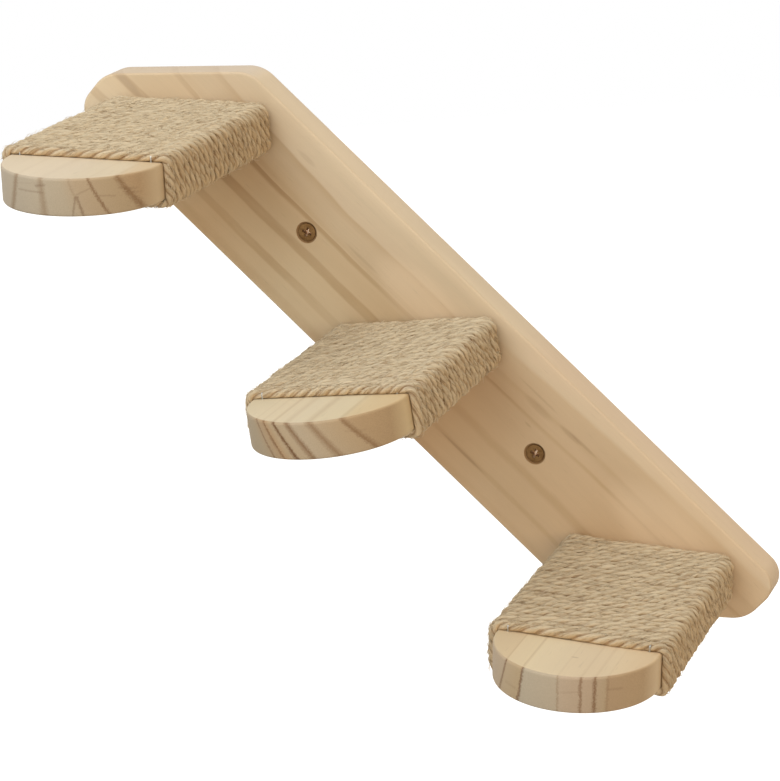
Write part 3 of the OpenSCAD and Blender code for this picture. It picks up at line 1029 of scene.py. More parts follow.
# Back board

# The points on each round corner of the board, on a step's nose and on each eased edge, less one.
CORNER_STEPS = 16
NOSE_STEPS = 64
EDGE_STEPS = 6

# How far the ring on a flat face lies inside the eased edge.
FACE_RING = 0.4 * MM


def board_outline(sizes):
    """Points and outward normals round the board's face, clockwise as seen from the front.

    Six straight sides each lie at a distance from the middle, and a round corner of its own radius joins
    each to the next. A corner's centre is where both sides would meet once drawn in by the radius.
    """
    normals = np.radians([90.0, 45.0, -45.0, -90.0, -135.0, -225.0])
    reach = np.tile([sizes.end_height, sizes.width / 2, sizes.nose_reach], 2)
    blunt = sizes.blunt_round
    radius = np.tile([blunt, sizes.nose_round, blunt], 2)
    after = np.roll(normals, -1) - np.array([0, 0, 0, 0, 0, 2 * math.pi])
    here = reach - radius
    there = np.roll(reach, -1) - radius
    across = np.cos(normals) * np.sin(after) - np.sin(normals) * np.cos(after)
    centre_x = (here * np.sin(after) - there * np.sin(normals)) / across
    centre_z = (np.cos(normals) * there - np.cos(after) * here) / across
    share = np.linspace(0, 1, CORNER_STEPS + 1)
    angle = normals[:, None] + (after - normals)[:, None] * share
    outward = np.stack([np.cos(angle), np.sin(angle)], axis=-1)
    centre = np.stack([centre_x, centre_z], axis=-1)[:, None, :]
    points = centre + radius[:, None, None] * outward
    return points.reshape(-1, 2), outward.reshape(-1, 2)


def eased_section(thickness, radius):
    """How far the edge of a plate is drawn in, and how deep it lies, from one face to the other.

    A quarter round leads from each face to the edge, and one ring more lies on each face, drawn in
    further, so that the flat faces keep flat shading.
    """
    angle = np.linspace(0, math.pi / 2, EDGE_STEPS + 1)
    inset = radius * (1 - np.sin(angle))
    depth = radius * (1 - np.cos(angle))
    face = [radius + FACE_RING]
    inset = np.concatenate([face, inset, inset[::-1], face])
    depth = np.concatenate([[0.0], depth, thickness - depth[::-1], [thickness]])
    return inset, depth


def make_board(sizes, steps, screws):
    """The board: each point of the outline is drawn in along its normal by the eased section, which
    runs through the thickness, and both faces are closed and then drilled."""
    outline, outward = board_outline(sizes)
    inset, depth = eased_section(sizes.thickness, sizes.edge_round)
    flat = outline[None] - inset[:, None, None] * outward[None]
    rows, columns = flat.shape[:2]
    y = np.repeat(-sizes.thickness + depth[:, None], columns, axis=1)
    points = np.stack([flat[..., 0], y, flat[..., 1]], axis=-1).reshape(-1, 3)
    front = np.arange(columns)[None, :]
    back = (rows - 1) * columns + np.arange(columns)[None, ::-1]
    walls = grid_faces(rows, columns)[:, ::-1]
    made = put_mesh("back_board_pine", points, [walls, front, back])
    cut_holes(made, put_mesh("board_holes", *board_holes(sizes, steps, screws)))
    mark_sharp(made)
    return made


def countersink(mouth, hole, deep, segments):
    """A closed cutter along +Z from the face at 0: a cone at 45 degrees from the mouth to the hole, a
    hair of roundness at the mouth, and the hole itself."""
    over = 1.0 * MM
    slope = (mouth - hole) / 2
    profile = [
        (0, -over),
        (mouth / 2 + 0.35 * MM, -over),
        (mouth / 2 + 0.18 * MM, 0.0),
        (mouth / 2 - 0.02 * MM, 0.14 * MM),
        (hole / 2, slope + 0.1 * MM),
        (hole / 2, deep + over),
        (0, deep + over),
    ]
    return lathe(profile, segments)


def aimed(points, origin, forward):
    """Turns points round +Z into points round the front-to-back axis, in or out of the wall."""
    x, y, z = points[:, 0], points[:, 1], points[:, 2]
    turned = np.stack([x, z, -y] if forward else [x, -z, y], axis=-1)
    return turned + np.asarray(origin)


def wall_screw_places(steps):
    """The wall screws, midway between the steps, on the board's front face."""
    half = steps.spacing / 2
    return [(-half, -BOARD_DEPTH, half), (half, -BOARD_DEPTH, -half)]


def step_screw_places(steps, screws, rank):
    """The two screws of one step, on the board's back face."""
    right = step_axes(steps.turns[rank])[0]
    origin = step_origin(steps, rank) + np.array([0.0, BOARD_DEPTH, 0.0])
    return [origin + side * screws.step_gap / 2 * right for side in (-1, 1)]


def board_holes(sizes, steps, screws):
    """Cutters for the two wall screws from the front and the six step screws from the back."""
    shapes = []
    for place in wall_screw_places(steps):
        points, faces = countersink(screws.wall_sink, screws.wall_hole, sizes.thickness, 48)
        shapes.append((aimed(points, place, True), faces))
    for rank in range(3):
        for place in step_screw_places(steps, screws, rank):
            points, faces = countersink(screws.step_sink, screws.step_hole, sizes.thickness, 40)
            shapes.append((aimed(points, place, False), faces))
    return join_shapes(shapes)


# Steps

# The length of a screw's point.
SCREW_POINT = 6 * MM


def step_outline(width, length):
    """Points and outward normals of a step's plan, from its right corner at the board round the nose to
    its left corner: straight sides and a half circle of half the width."""
    radius = width / 2
    straight = length - radius
    angle = np.linspace(0, math.pi, NOSE_STEPS + 1)
    nose = np.stack([radius * np.cos(angle), straight + radius * np.sin(angle)], axis=-1)
    outward = np.stack([np.cos(angle), np.sin(angle)], axis=-1)
    points = np.concatenate([[[radius, 0.0]], nose, [[-radius, 0.0]]])
    normals = np.concatenate([[[1.0, 0.0]], outward, [[-1.0, 0.0]]])
    return points, normals


def make_step(steps, screws, rank):
    """A step: its plan is drawn in along its normals by the eased section, which runs through the
    thickness, and the top, the underside and the end on the board close it. The two holes for its screws
    are then drilled from that end."""
    outline, outward = step_outline(steps.width, STEP_LENGTHS[rank])
    inset, height = eased_section(steps.thickness, steps.edge_round)
    flat = outline[None] - inset[:, None, None] * outward[None]
    rows, columns = flat.shape[:2]
    up = np.repeat(steps.thickness / 2 - height[:, None], columns, axis=1)
    points = np.concatenate([flat, up[..., None]], axis=-1).reshape(-1, 3)
    top = np.arange(columns)[None, ::-1]
    underside = (rows - 1) * columns + np.arange(columns)[None, :]
    right_end = np.arange(rows) * columns
    left_end = np.arange(rows)[::-1] * columns + columns - 1
    end = np.concatenate([right_end, left_end])[None, ::-1]
    walls = grid_faces(rows, columns, closed=False)
    made = put_mesh(f"{RANKS[rank]}_step_pine", on_step(points, steps, rank), [walls, top, underside, end])
    radius = screws.step_thread / 2 + 0.05 * MM
    tip = screws.step_length + 0.1 * MM
    foot = BOARD_DEPTH - 1 * MM
    pilot = [(0, foot), (radius, foot), (radius, tip - SCREW_POINT), (0, tip)]
    holes = []
    for place in step_screw_places(steps, screws, rank):
        shape, faces = lathe(pilot, 24)
        holes.append((aimed(shape, place, False), faces))
    cut_holes(made, put_mesh("pilot_holes", *join_shapes(holes)))
    mark_sharp(made)
    return made


# Rope

# The distance between the rope's rows of points, and the points round each of its strands.
ROPE_ROW = 1.62 * MM
STRAND_POINTS = 8

# How far the rope departs from an even one: the drift of its lay in radians, the swelling of the rope, of
# its strands and of their yarns as shares, its sway along the step and its lift off the wood.
LAY_DRIFT = 1.3
ROPE_SWELL = 0.045
STRAND_SWELL = 0.1
YARN_SWELL = 0.07
ROPE_SWAY = 0.28 * MM
ROPE_LIFT = 0.16 * MM

# How far the rope stays off the wood, and its half width as a share of the pitch, which presses neighbour
# turns together. Then how much its inner half is filled out where it is pressed, and the power that squares
# that half.
ROPE_CLEARANCE = 0.04 * MM
HALF_WIDTH_SHARE = 0.505
PRESSED_FILL = 0.75
PRESSED_POWER = 0.55

# How far the middle of each strand lies from the middle of a rope of radius 1.
STRAND_OFFSET = 0.42

# The painted shade in the groove between strands, the share of the half width where the painted shade at the
# rope's sides starts, and how much stronger both are on the first turn.
GROOVE_SHADE = 0.75
CREVICE_START = 0.72
FIRST_TURN_SHADE = 1.15

# The loose fibres, in millimetres: shortest and longest, thinnest and thickest radius, and highest lift.
# Then how far aside of straight out one may start, the middle and the spread of its lean in radians, the
# spread of its curl as a share of its length, and its palest and brownest tone. One in so many is kept for
# the first turn.
FIBRE_LENGTHS = (1.4, 5.0)
FIBRE_RADII = (0.07, 0.16)
FIBRE_LIFT = 0.9
FIBRE_TILT = 1.5
FIBRE_LEAN = (-0.55, 0.38)
FIBRE_CURL = 0.25
FIBRE_TONES = (-0.35, 0.85)
FIRST_TURN_ONE_IN = 9


def winding_path(steps, rope, rank, gone):
    """Places, outward and forward directions along one winding, by the length gone along the loop.

    The loop is the step's eased section, pushed out by half the rope's depth: its inner corner centres
    stay still on each bend and move along each straight, and the place is the centre plus the bend's
    radius along the outward direction. The depth falls by one pitch a loop.
    """
    half_depth = rope.depth / 2 + ROPE_CLEARANCE
    bend = steps.edge_round + half_depth
    half_width = steps.width / 2 - steps.edge_round
    half_height = steps.thickness / 2 - steps.edge_round
    quarter = bend * math.pi / 2
    runs = [half_width, quarter, 2 * half_height, quarter, 2 * half_width, quarter, 2 * half_height, quarter]
    knots = np.concatenate([[0.0], np.cumsum(runs + [half_width])])
    angles = np.radians([-90, -90, -180, -180, -270, -270, -360, -360, -450, -450])
    centre_x = half_width * np.array([0, -1, -1, -1, -1, 1, 1, 1, 1, 0])
    centre_z = half_height * np.array([-1, -1, -1, 1, 1, 1, 1, -1, -1, -1])
    loop = knots[-1]
    turns = rope.turns[rank]
    start = STEP_LENGTHS[rank] - steps.width / 2 + rope.past_nose - rope.diameter / 2
    end = rope.board_gap + rope.diameter / 2
    pitch = (start - end) / turns
    share = np.mod(gone, loop)
    angle = np.interp(share, knots, angles)
    outward = np.stack([np.cos(angle), np.zeros_like(angle), np.sin(angle)], axis=-1)
    forward = np.stack([np.sin(angle), np.zeros_like(angle), -np.cos(angle)], axis=-1)
    depth = start - pitch * gone / loop
    place = [np.interp(share, knots, centre_x), depth, np.interp(share, knots, centre_z)]
    place = np.stack(place, axis=-1)
    place = place + bend * outward
    return place, outward, forward, loop, pitch


def strand_section(count):
    """Radius, angle, groove depth and strand number round a rope of three strands, for a radius of 1.

    Three overlapping circles, whose arcs between the meeting points are shared out evenly.
    """
    circle = 1 - STRAND_OFFSET
    low = STRAND_OFFSET / 2 + math.sqrt(circle**2 - 0.75 * STRAND_OFFSET**2)
    reach = math.atan2(low * math.sin(math.pi / 3), low * math.cos(math.pi / 3) - STRAND_OFFSET)
    arc = np.linspace(-reach, reach, count + 1)[:-1]
    lobes = np.arange(3)[:, None] * 2 * math.pi / 3
    x = (STRAND_OFFSET + circle * np.cos(arc))[None, :] + 0 * lobes
    z = (circle * np.sin(arc))[None, :] + 0 * lobes
    radius = np.hypot(x, z).reshape(-1)
    angle = (np.arctan2(z, x) + lobes).reshape(-1)
    groove = (1 - radius) / (1 - low)
    strand = np.repeat(np.arange(3), count)
    return radius, angle, groove, strand


def signed_power(value, power):
    """A number's size raised to a power, with its sign kept."""
    return np.sign(value) * np.abs(value) ** power


def rope_section(rope, rank, gone, around, pitch, radius, strand):
    """How far each point of the rope's surface lies outward and aside from the rope's middle line.

    The strands' section swells and shrinks by smooth noise and moves a little as a whole. Its inner half
    is filled out and drawn towards a square, as it is pressed on the wood and the neighbour turns.
    """
    seed = 100 * (rank + 1)
    rough = rope.unevenness[rank]
    swell = 1 + ROPE_SWELL * rough * gentle_noise(gone, 30 * MM, seed + 1)
    sway = ROPE_SWAY * gentle_noise(gone, 70 * MM, seed + 2)
    lift = ROPE_LIFT * rough * gentle_noise(gone, 45 * MM, seed + 3)
    strand_noise = [gentle_noise(gone, 24 * MM, seed + 4 + k) for k in range(3)]
    strand_swell = 1 + STRAND_SWELL * rough * np.stack(strand_noise, axis=-1)
    yarn_noise = [gentle_noise(gone, 6 * MM, seed + 40 + k) for k in range(len(radius))]
    yarn_swell = 1 + YARN_SWELL * rough * np.stack(yarn_noise, axis=-1)
    pressed = np.clip(-2.5 * np.cos(around), 0, 1)
    filled = radius[None, :] + PRESSED_FILL * pressed * (1 - radius[None, :])
    size = filled * swell[:, None] * (strand_swell[:, strand] * yarn_swell) ** (1 - pressed)
    power = np.where(np.cos(around) < 0, PRESSED_POWER, 1.0)
    up = rope.depth / 2 * size * signed_power(np.cos(around), power) + lift[:, None]
    aside = pitch * HALF_WIDTH_SHARE * size * signed_power(np.sin(around), power) + sway[:, None]
    return up, aside


def rope_shade(rope, rank, around, groove, upward, on_first):
    """The painted shade at each point, by how deep it lies: in the groove between two strands, or in the
    crevice between two turns.

    It counts for less on top of a step, and for more on the first turn, which has no crevice on its open
    side.
    """
    crevice = np.clip((np.abs(np.sin(around)) - CREVICE_START) / (1 - CREVICE_START), 0, 1)
    crevice[(np.sin(around) < 0) & on_first[:, None]] = 0
    shade = 1 - rope.softness[rank] * np.clip(upward, 0, 1)
    shade[on_first] = FIRST_TURN_SHADE
    return shade[:, None] * np.maximum(GROOVE_SHADE * groove, crevice)


def make_rope(steps, rope, rank):
    """A winding of three-strand rope: the strands' section turns left-handed along the path, in rows of
    points that are joined and closed at both ends, and loose fibres lie on it.

    The mesh carries each point's place among the fibres, its painted shade and its tone for the material.
    """
    seed = 100 * (rank + 1)
    loop = winding_path(steps, rope, rank, np.zeros(1))[3]
    total = loop * rope.turns[rank]
    rows = int(total / ROPE_ROW)
    gone = np.linspace(0, total, rows)
    place, outward, forward, loop, pitch = winding_path(steps, rope, rank, gone)
    radius, angle, groove, strand = strand_section(STRAND_POINTS)
    columns = len(radius)
    spin = 2 * math.pi * gone / rope.lay + LAY_DRIFT * gentle_noise(gone, 80 * MM, seed)
    around = angle[None, :] + spin[:, None]
    up, aside = rope_section(rope, rank, gone, around, pitch, radius, strand)
    shape = place[:, None, :] + up[..., None] * outward[:, None, :]
    shape[..., 1] -= aside
    ends = np.stack([shape[0].mean(axis=0), shape[-1].mean(axis=0)])
    points = np.concatenate([shape.reshape(-1, 3), ends])
    fibre = np.stack(
        [
            rope.diameter / 2 * np.cos(angle) + np.zeros((rows, 1)),
            rope.diameter / 2 * np.sin(angle) + np.zeros((rows, 1)),
            np.repeat(gone[:, None], columns, axis=1),
        ],
        axis=-1,
    ).reshape(-1, 3)
    fibre = np.concatenate([fibre, np.zeros((2, 3))])
    shade = rope_shade(rope, rank, around, groove, outward[:, 2], gone < loop)
    painted_shades = np.concatenate([shade.reshape(-1), [0.5, 0.5]])
    tones = np.concatenate([np.tile(0.42 + 0.09 * strand, rows), [0.5, 0.5]]) + rope.tones[rank]
    hairs = loose_fibres(place, outward, forward, rope, rows // rope.turns[rank], seed + 20)
    hair_points, hair_faces, hair_fibre, hair_tone = hairs
    winding = (points, tube_faces(rows, columns, turned=True))
    points, faces = join_shapes([winding, (hair_points, hair_faces)])
    made = put_mesh(f"{RANKS[rank]}_rope_jute", on_step(points, steps, rank), faces)
    carry(made, "fibre", "FLOAT_VECTOR", np.concatenate([fibre, hair_fibre]))
    # The groove attribute carries the painted shade.
    carry(made, "groove", "FLOAT", np.concatenate([painted_shades, np.zeros(len(hair_points))]))
    carry(made, "tone", "FLOAT", np.concatenate([tones, hair_tone]))
    return made


def carry(made, name, kind, values):
    """Stores a value for each point of a mesh."""
    layer = made.data.attributes.new(name, kind, "POINT")
    layer.data.foreach_set("vector" if kind == "FLOAT_VECTOR" else "value", values.astype(np.float32).ravel())


def loose_fibres(place, outward, forward, rope, first_rows, seed):
    """Short fibres that lie on the rope and lift off it: thin three-sided hairs that taper to a point.

    A hair starts on the rope's outside, runs mostly along the rope and across its strands, and rises as
    the sine of its share. Some of them are kept for the first turn, the first rows of the path, which has
    no neighbour on one side.
    """
    random = np.random.default_rng(seed)
    count = rope.fibres
    pick = random.integers(0, len(place), count)
    kept = count // FIRST_TURN_ONE_IN
    pick[:kept] = random.integers(0, first_rows, kept)
    base, out, ahead = place[pick], outward[pick], forward[pick]
    side = np.array([0.0, 1.0, 0.0]) + 0 * base
    tilt = random.uniform(-FIBRE_TILT, FIBRE_TILT, count)[:, None]
    away = np.cos(tilt) * out + np.sin(tilt) * side
    root = base + rope.depth * 0.47 * away
    rise = away * np.minimum(random.gamma(1.5, 0.26, count), FIBRE_LIFT)[:, None] * MM
    length = random.uniform(*FIBRE_LENGTHS, count)[:, None] * MM
    lean = random.normal(*FIBRE_LEAN, count)[:, None]
    run = (ahead * np.cos(lean) + side * np.sin(lean)) * np.where(random.random(count) < 0.5, -1, 1)[:, None]
    curl = np.cross(run, out) * random.normal(0, FIBRE_CURL, count)[:, None]
    share = np.array([0.0, 0.5, 1.0])[None, :, None]
    line = (
        root[:, None, :]
        + run[:, None, :] * length[:, None, :] * share
        + rise[:, None, :] * np.sin(share * 1.9)
        + curl[:, None, :] * length[:, None, :] * share**2
    )
    angle = np.arange(3) * 2 * math.pi / 3
    width = random.uniform(*FIBRE_RADII, count)[:, None, None, None] * MM
    cross = out[:, None, None, :] * np.cos(angle)[None, None, :, None]
    cross = cross + side[:, None, None, :] * np.sin(angle)[None, None, :, None]
    body = line[:, :2, None, :] + width * np.array([1.0, 0.8])[None, :, None, None] * cross
    points = np.concatenate([body.reshape(count, 6, 3), line[:, 2:, :]], axis=1).reshape(-1, 3)
    first = 7 * np.arange(count)[:, None, None]
    walls = (grid_faces(2, 3)[:, ::-1][None] + first).reshape(-1, 4)
    ends = np.array([[0, 1, 2], [4, 3, 6], [5, 4, 6], [3, 5, 6]])
    ends = (ends[None] + first).reshape(-1, 3)
    spread = random.uniform(0, 30 * MM, (count, 1, 3))
    fibre = (spread + np.zeros((count, 7, 3))).reshape(-1, 3)
    tone = np.repeat(random.uniform(*FIBRE_TONES, count), 7)
    return points, [walls, ends], fibre, tone


# Screws

# The diameters of the screws' cores, the pitches of their threads, and how far a head's top lies above the
# depth where a plain countersink of 45 degrees is as wide as the head.
WALL_SCREW_CORE = 3.6 * MM
WALL_SCREW_PITCH = 2.4 * MM
STEP_SCREW_CORE = 2.9 * MM
STEP_SCREW_PITCH = 1.8 * MM
HEAD_RISE = 0.47 * MM


def screw_profile(thread, shank, head, length, smooth, pitch):
    """Rows of radius and distance along a countersunk screw from its head's top, and which rows carry
    thread: a flat head with an eased rim, a cone, a smooth shank, a threaded part and a point."""
    rim = 0.4 * MM
    cone_end = rim + (head - shank) / 2
    rows = [
        (0, 0.0, 0),
        (thread * 0.62, 0.0, 0),
        (head / 2 - 0.22 * MM, 0.0, 0),
        (head / 2 - 0.07 * MM, 0.05 * MM, 0),
        (head / 2, 0.2 * MM, 0),
        (head / 2, rim, 0),
        (shank / 2 + 0.3 * MM, cone_end - 0.25 * MM, 0),
        (shank / 2, cone_end + 0.4 * MM, 0),
        (shank / 2, smooth - 1.5 * MM, 0),
    ]
    count = int((length - smooth) / (pitch / 8))
    for distance in np.linspace(smooth, length - 0.4 * MM, count):
        left = min(1.0, (length - distance) / SCREW_POINT)
        grow = min(1.0, (distance - smooth) / (2 * MM))
        rows.append((thread / 2 * left, distance, grow))
    rows.append((0, length, 0))
    return np.array(rows)


def make_screw(name, place, into_wall, sizes, segments):
    """A wood screw whose thread is a ridge that winds round the core.

    A point lies at the row's radius, drawn in to the core's radius except along a narrow ridge where the
    angle matches the distance gone over the thread's pitch. A cross is then cut in the head.
    """
    thread, shank, head, length, smooth, pitch = sizes
    rows = screw_profile(thread, shank, head, length, smooth, pitch)
    angle = np.arange(segments) * 2 * math.pi / segments
    body = rows[1:-1]
    phase = np.mod(body[:, 1:2] / pitch - angle[None, :] / (2 * math.pi), 1.0)
    ridge = np.clip(1 - np.abs(phase - 0.5) / 0.22, 0, 1)
    core = shank / thread * 0.97
    radius = body[:, :1] * (1 - body[:, 2:3] * (1 - core) * (1 - ridge))
    ring = np.stack(
        [radius * np.cos(angle), radius * np.sin(angle), body[:, 1:2] + 0 * angle[None, :]], axis=-1
    )
    points = np.concatenate([ring.reshape(-1, 3), [[0, 0, 0]], [[0, 0, length]]])
    made = put_mesh(name, aimed(points, place, into_wall), tube_faces(len(body), segments))
    cut_holes(made, put_mesh(f"{name}_recess", *cross_recess(thread, place, into_wall)))
    mark_sharp(made, 30)
    paint_recess_glint(made, place, thread)
    return made


def paint_recess_glint(made, place, thread):
    """Marks the recess's foot for a painted highlight, by its distance from the screw's axis and its depth.
    """
    points = np.zeros(3 * len(made.data.vertices))
    made.data.vertices.foreach_get("co", points)
    offset = points.reshape(-1, 3) - np.asarray(place)
    apart = np.hypot(offset[:, 0], offset[:, 2])
    deep = np.abs(offset[:, 1])
    # The worn mark is a painted highlight, not wear.
    worn = (apart < 0.3 * thread) & (deep > 0.4 * thread) & (deep < 0.5 * thread)
    carry(made, "worn", "FLOAT", worn.astype(float))


def cross_recess(thread, place, into_wall):
    """A cutter for a cross recess: a twelve-cornered cross outline, long and wide at the mouth and short
    and narrow at the foot, carried straight from one to the other."""
    reach = np.array([1, 1, 0, 0, 0, 0, -1, -1, 0, 0, 0, 0])
    half = np.array([0, 0, 1, 1, -1, -1, 0, 0, -1, -1, 1, 1])
    rings = []
    for share, far, near in ((-0.08, 0.56, 0.165), (0.44, 0.24, 0.075)):
        x = thread * (far * reach + near * half)
        rings.append(np.stack([x, np.roll(x, 3), np.full(12, thread * share)], axis=-1))
    points = spin_about_z(np.concatenate(rings), math.radians(24))
    mouth = np.arange(12)[None, ::-1]
    foot = 12 + np.arange(12)[None, :]
    return aimed(points, place, into_wall), [grid_faces(2, 12), mouth, foot]


def spin_about_z(points, angle):
    """Turns points round +Z by an angle."""
    cos, sin = math.cos(angle), math.sin(angle)
    x = points[:, 0] * cos - points[:, 1] * sin
    y = points[:, 0] * sin + points[:, 1] * cos
    return np.stack([x, y, points[:, 2]], axis=-1)


# Staples

# The staples' flat wire and their legs, the distance of the tip staples from the step's side, and that of
# the tail staples from the step's middle.
STAPLE_THICK = 0.5 * MM
STAPLE_WIDE = 0.7 * MM
STAPLE_LEG = 12 * MM
TIP_STAPLE_INSET = 5.5 * MM
TAIL_STAPLE_PLACE = 10 * MM


def bent_wire(path, wide, thick):
    """A flat wire along a path in one plane, given as rows of depth and height.

    At each point the wire's section, an oblong with eased corners, stands square to the path.
    """
    path = np.asarray(path, dtype=float)
    ahead = np.gradient(path, axis=0)
    ahead /= np.linalg.norm(ahead, axis=1, keepdims=True)
    normal = np.stack([-ahead[:, 1], ahead[:, 0]], axis=-1)
    ease = 0.12 * MM
    corners = []
    for sign_w, sign_t in ((1, 1), (-1, 1), (-1, -1), (1, -1)):
        first = (sign_w * (wide / 2), sign_t * (thick / 2 - ease))
        second = (sign_w * (wide / 2 - ease), sign_t * (thick / 2))
        corners += [first, second] if sign_w * sign_t > 0 else [second, first]
    section = np.array(corners)
    ring = np.zeros((len(path), len(section), 3))
    ring[..., 0] = section[None, :, 0]
    ring[..., 1] = path[:, None, 0] + normal[:, None, 0] * section[None, :, 1]
    ring[..., 2] = path[:, None, 1] + normal[:, None, 1] * section[None, :, 1]
    rows, columns = ring.shape[:2]
    first_cap = np.arange(columns)[None, ::-1]
    last_cap = (rows - 1) * columns + np.arange(columns)[None, :]
    return ring.reshape(-1, 3), [grid_faces(rows, columns), first_cap, last_cap]


def staple_path(span, crown, leg, thick):
    """A staple's middle line: up one leg, round a small bend, along the crown and down the other leg."""
    bend = 0.7 * MM
    half = span / 2
    top = crown + thick / 2
    foot = crown + thick - leg
    angle = np.linspace(0, math.pi / 2, 6)
    left = np.stack([-half + bend - bend * np.cos(angle), top - bend + bend * np.sin(angle)], axis=-1)
    right = left[::-1] * np.array([-1, 1])
    return np.concatenate([[[-half, foot]], left, right, [[half, foot]]])


def staple_spots(steps, rope, rank):
    """Where each staple of a step sits: its place across, its side and its turn's depth, and the pitch.

    The rope's length gone where a staple stands gives the depth of its turn.
    """
    place, *_, loop, pitch = winding_path(steps, rope, rank, np.zeros(1))
    start = place[0, 1]
    inset = steps.width / 2 - TIP_STAPLE_INSET
    half_height = steps.thickness / 2 - steps.edge_round
    half_width = steps.width / 2 - steps.edge_round
    quarter = (loop - 4 * (half_width + half_height)) / 4
    top_middle = half_width + 2 * quarter + 2 * half_height + half_width
    spots = {}
    for name, across, side, gone in (
        ("tip_left", -inset, 1, top_middle - inset),
        ("tip_right", inset, 1, top_middle + inset),
        ("tail_start", -TAIL_STAPLE_PLACE, -1, TAIL_STAPLE_PLACE),
        ("tail_end", TAIL_STAPLE_PLACE, -1, rope.turns[rank] * loop - TAIL_STAPLE_PLACE),
    ):
        spots[name] = (across, side, start - pitch * gone / loop)
    return spots, pitch


# Stage

CAMERA_PLACE = np.array([492.16, -1247.34, 380.3]) * MM
CAMERA_YAW = math.radians(-22.5677)
CAMERA_PITCH = math.radians(-16.97)
CAMERA_ROLL = math.radians(-4.9642)
CAMERA_LENS = 125.54
CAMERA_SENSOR = 36.0

# Each lamp's place, the point that it looks at and its width, in metres.
TOP_LAMP = ((-0.5, -0.75, 1.4), (0.0, -0.08, 0.0), 1.2)
SIDE_LAMP = ((1.3, -1.0, 0.5), (0.0, -0.05, 0.0), 1.0)
FRONT_LAMP = ((-0.5, -1.7, 0.1), (0.0, -0.05, 0.0), 1.5)

# The floor's radius, its number of corners, its grey, and its glow to the camera.
FLOOR_RADIUS = 6
FLOOR_CORNERS = 96
FLOOR_GREY = 0.86
FLOOR_GLOW = 0.85


def camera_matrix():
    """The camera's frame from its yaw, pitch and roll: right, up and backward as columns."""
    ahead = np.array(
        [
            math.sin(CAMERA_YAW) * math.cos(CAMERA_PITCH),
            math.cos(CAMERA_YAW) * math.cos(CAMERA_PITCH),
            math.sin(CAMERA_PITCH),
        ]
    )
    level = np.array([math.cos(CAMERA_YAW), -math.sin(CAMERA_YAW), 0.0])
    upright = np.cross(level, ahead)
    right = math.cos(CAMERA_ROLL) * level + math.sin(CAMERA_ROLL) * upright
    up = -math.sin(CAMERA_ROLL) * level + math.cos(CAMERA_ROLL) * upright
    whole = np.identity(4)
    whole[:3, 0] = right
    whole[:3, 1] = up
    whole[:3, 2] = -ahead
    whole[:3, 3] = CAMERA_PLACE
    return Matrix(whole.tolist())


def add_lamp(name, place, target, width, power, colour=(1.0, 1.0, 1.0)):
    """A large square lamp that looks at a point, which doesn't lie straight below or above it."""
    lamp = bpy.data.lights.new(name, "AREA")
    lamp.shape = "SQUARE"
    lamp.size = width
    lamp.energy = power
    lamp.color = colour
    holder = bpy.data.objects.new(name, lamp)
    bpy.context.scene.collection.objects.link(holder)
    place = np.asarray(place, dtype=float)
    back = place - np.asarray(target, dtype=float)
    back /= np.linalg.norm(back)
    side = np.cross([0.0, 0.0, 1.0], back)
    side = side / np.linalg.norm(side)
    whole = np.identity(4)
    whole[:3, 0] = side
    whole[:3, 1] = np.cross(back, side)
    whole[:3, 2] = back
    whole[:3, 3] = place
    holder.matrix_world = Matrix(whole.tolist())


def make_world(strength, warmth):
    """Even light from all sides, and plain white where the camera or a gloss sees past the floor."""
    world = bpy.data.worlds.new("studio")
    bpy.context.scene.world = world
    world.use_nodes = True
    tree = world.node_tree
    tree.nodes.clear()
    path = tree.nodes.new("ShaderNodeLightPath")
    mirrored = tree.nodes.new("ShaderNodeMath")
    mirrored.operation = "MAXIMUM"
    tree.links.new(path.outputs["Is Glossy Ray"], mirrored.inputs[0])
    tree.links.new(path.outputs["Is Transmission Ray"], mirrored.inputs[1])
    seen = tree.nodes.new("ShaderNodeMath")
    seen.operation = "MAXIMUM"
    tree.links.new(path.outputs["Is Camera Ray"], seen.inputs[0])
    tree.links.new(mirrored.outputs[0], seen.inputs[1])
    level = tree.nodes.new("ShaderNodeMapRange")
    tree.links.new(seen.outputs[0], level.inputs[0])
    level.inputs[3].default_value = strength
    level.inputs[4].default_value = 1.0
    light = tree.nodes.new("ShaderNodeBackground")
    tint = tree.nodes.new("ShaderNodeMix")
    tint.data_type = "RGBA"
    tint.inputs[6].default_value = (*warmth, 1.0)
    tint.inputs[7].default_value = (1.0, 1.0, 1.0, 1.0)
    tree.links.new(seen.outputs[0], tint.inputs[0])
    tree.links.new(tint.outputs[2], light.inputs[0])
    tree.links.new(level.outputs[0], light.inputs[1])
    output = tree.nodes.new("ShaderNodeOutputWorld")
    tree.links.new(light.outputs[0], output.inputs[0])


def make_floor(drop):
    """A round pale floor well below the ladder: matt, with a glow to the camera that brings it to white
    and leaves the shadow on it."""
    angle = np.arange(FLOOR_CORNERS) * 2 * math.pi / FLOOR_CORNERS
    rim = np.stack([FLOOR_RADIUS * np.cos(angle), FLOOR_RADIUS * np.sin(angle), 0 * angle - drop], axis=-1)
    floor = put_mesh("floor", rim, [np.arange(FLOOR_CORNERS)[None, :]])
    bench = Bench("floor_white")
    path = bench.add("ShaderNodeLightPath", {}).outputs["Is Camera Ray"]
    grey = (FLOOR_GREY, FLOOR_GREY, FLOOR_GREY, 1.0)
    matt = bench.add("ShaderNodeBsdfDiffuse", {"Color": grey}).outputs[0]
    strength = bench.maths("MULTIPLY", path, FLOOR_GLOW)
    glow = bench.add("ShaderNodeEmission", {"Strength": strength}).outputs[0]
    both = bench.add("ShaderNodeAddShader", {0: matt, 1: glow}).outputs[0]
    bench.add("ShaderNodeOutputMaterial", {0: both})
    floor.data.materials.append(bench.material)


# Operators


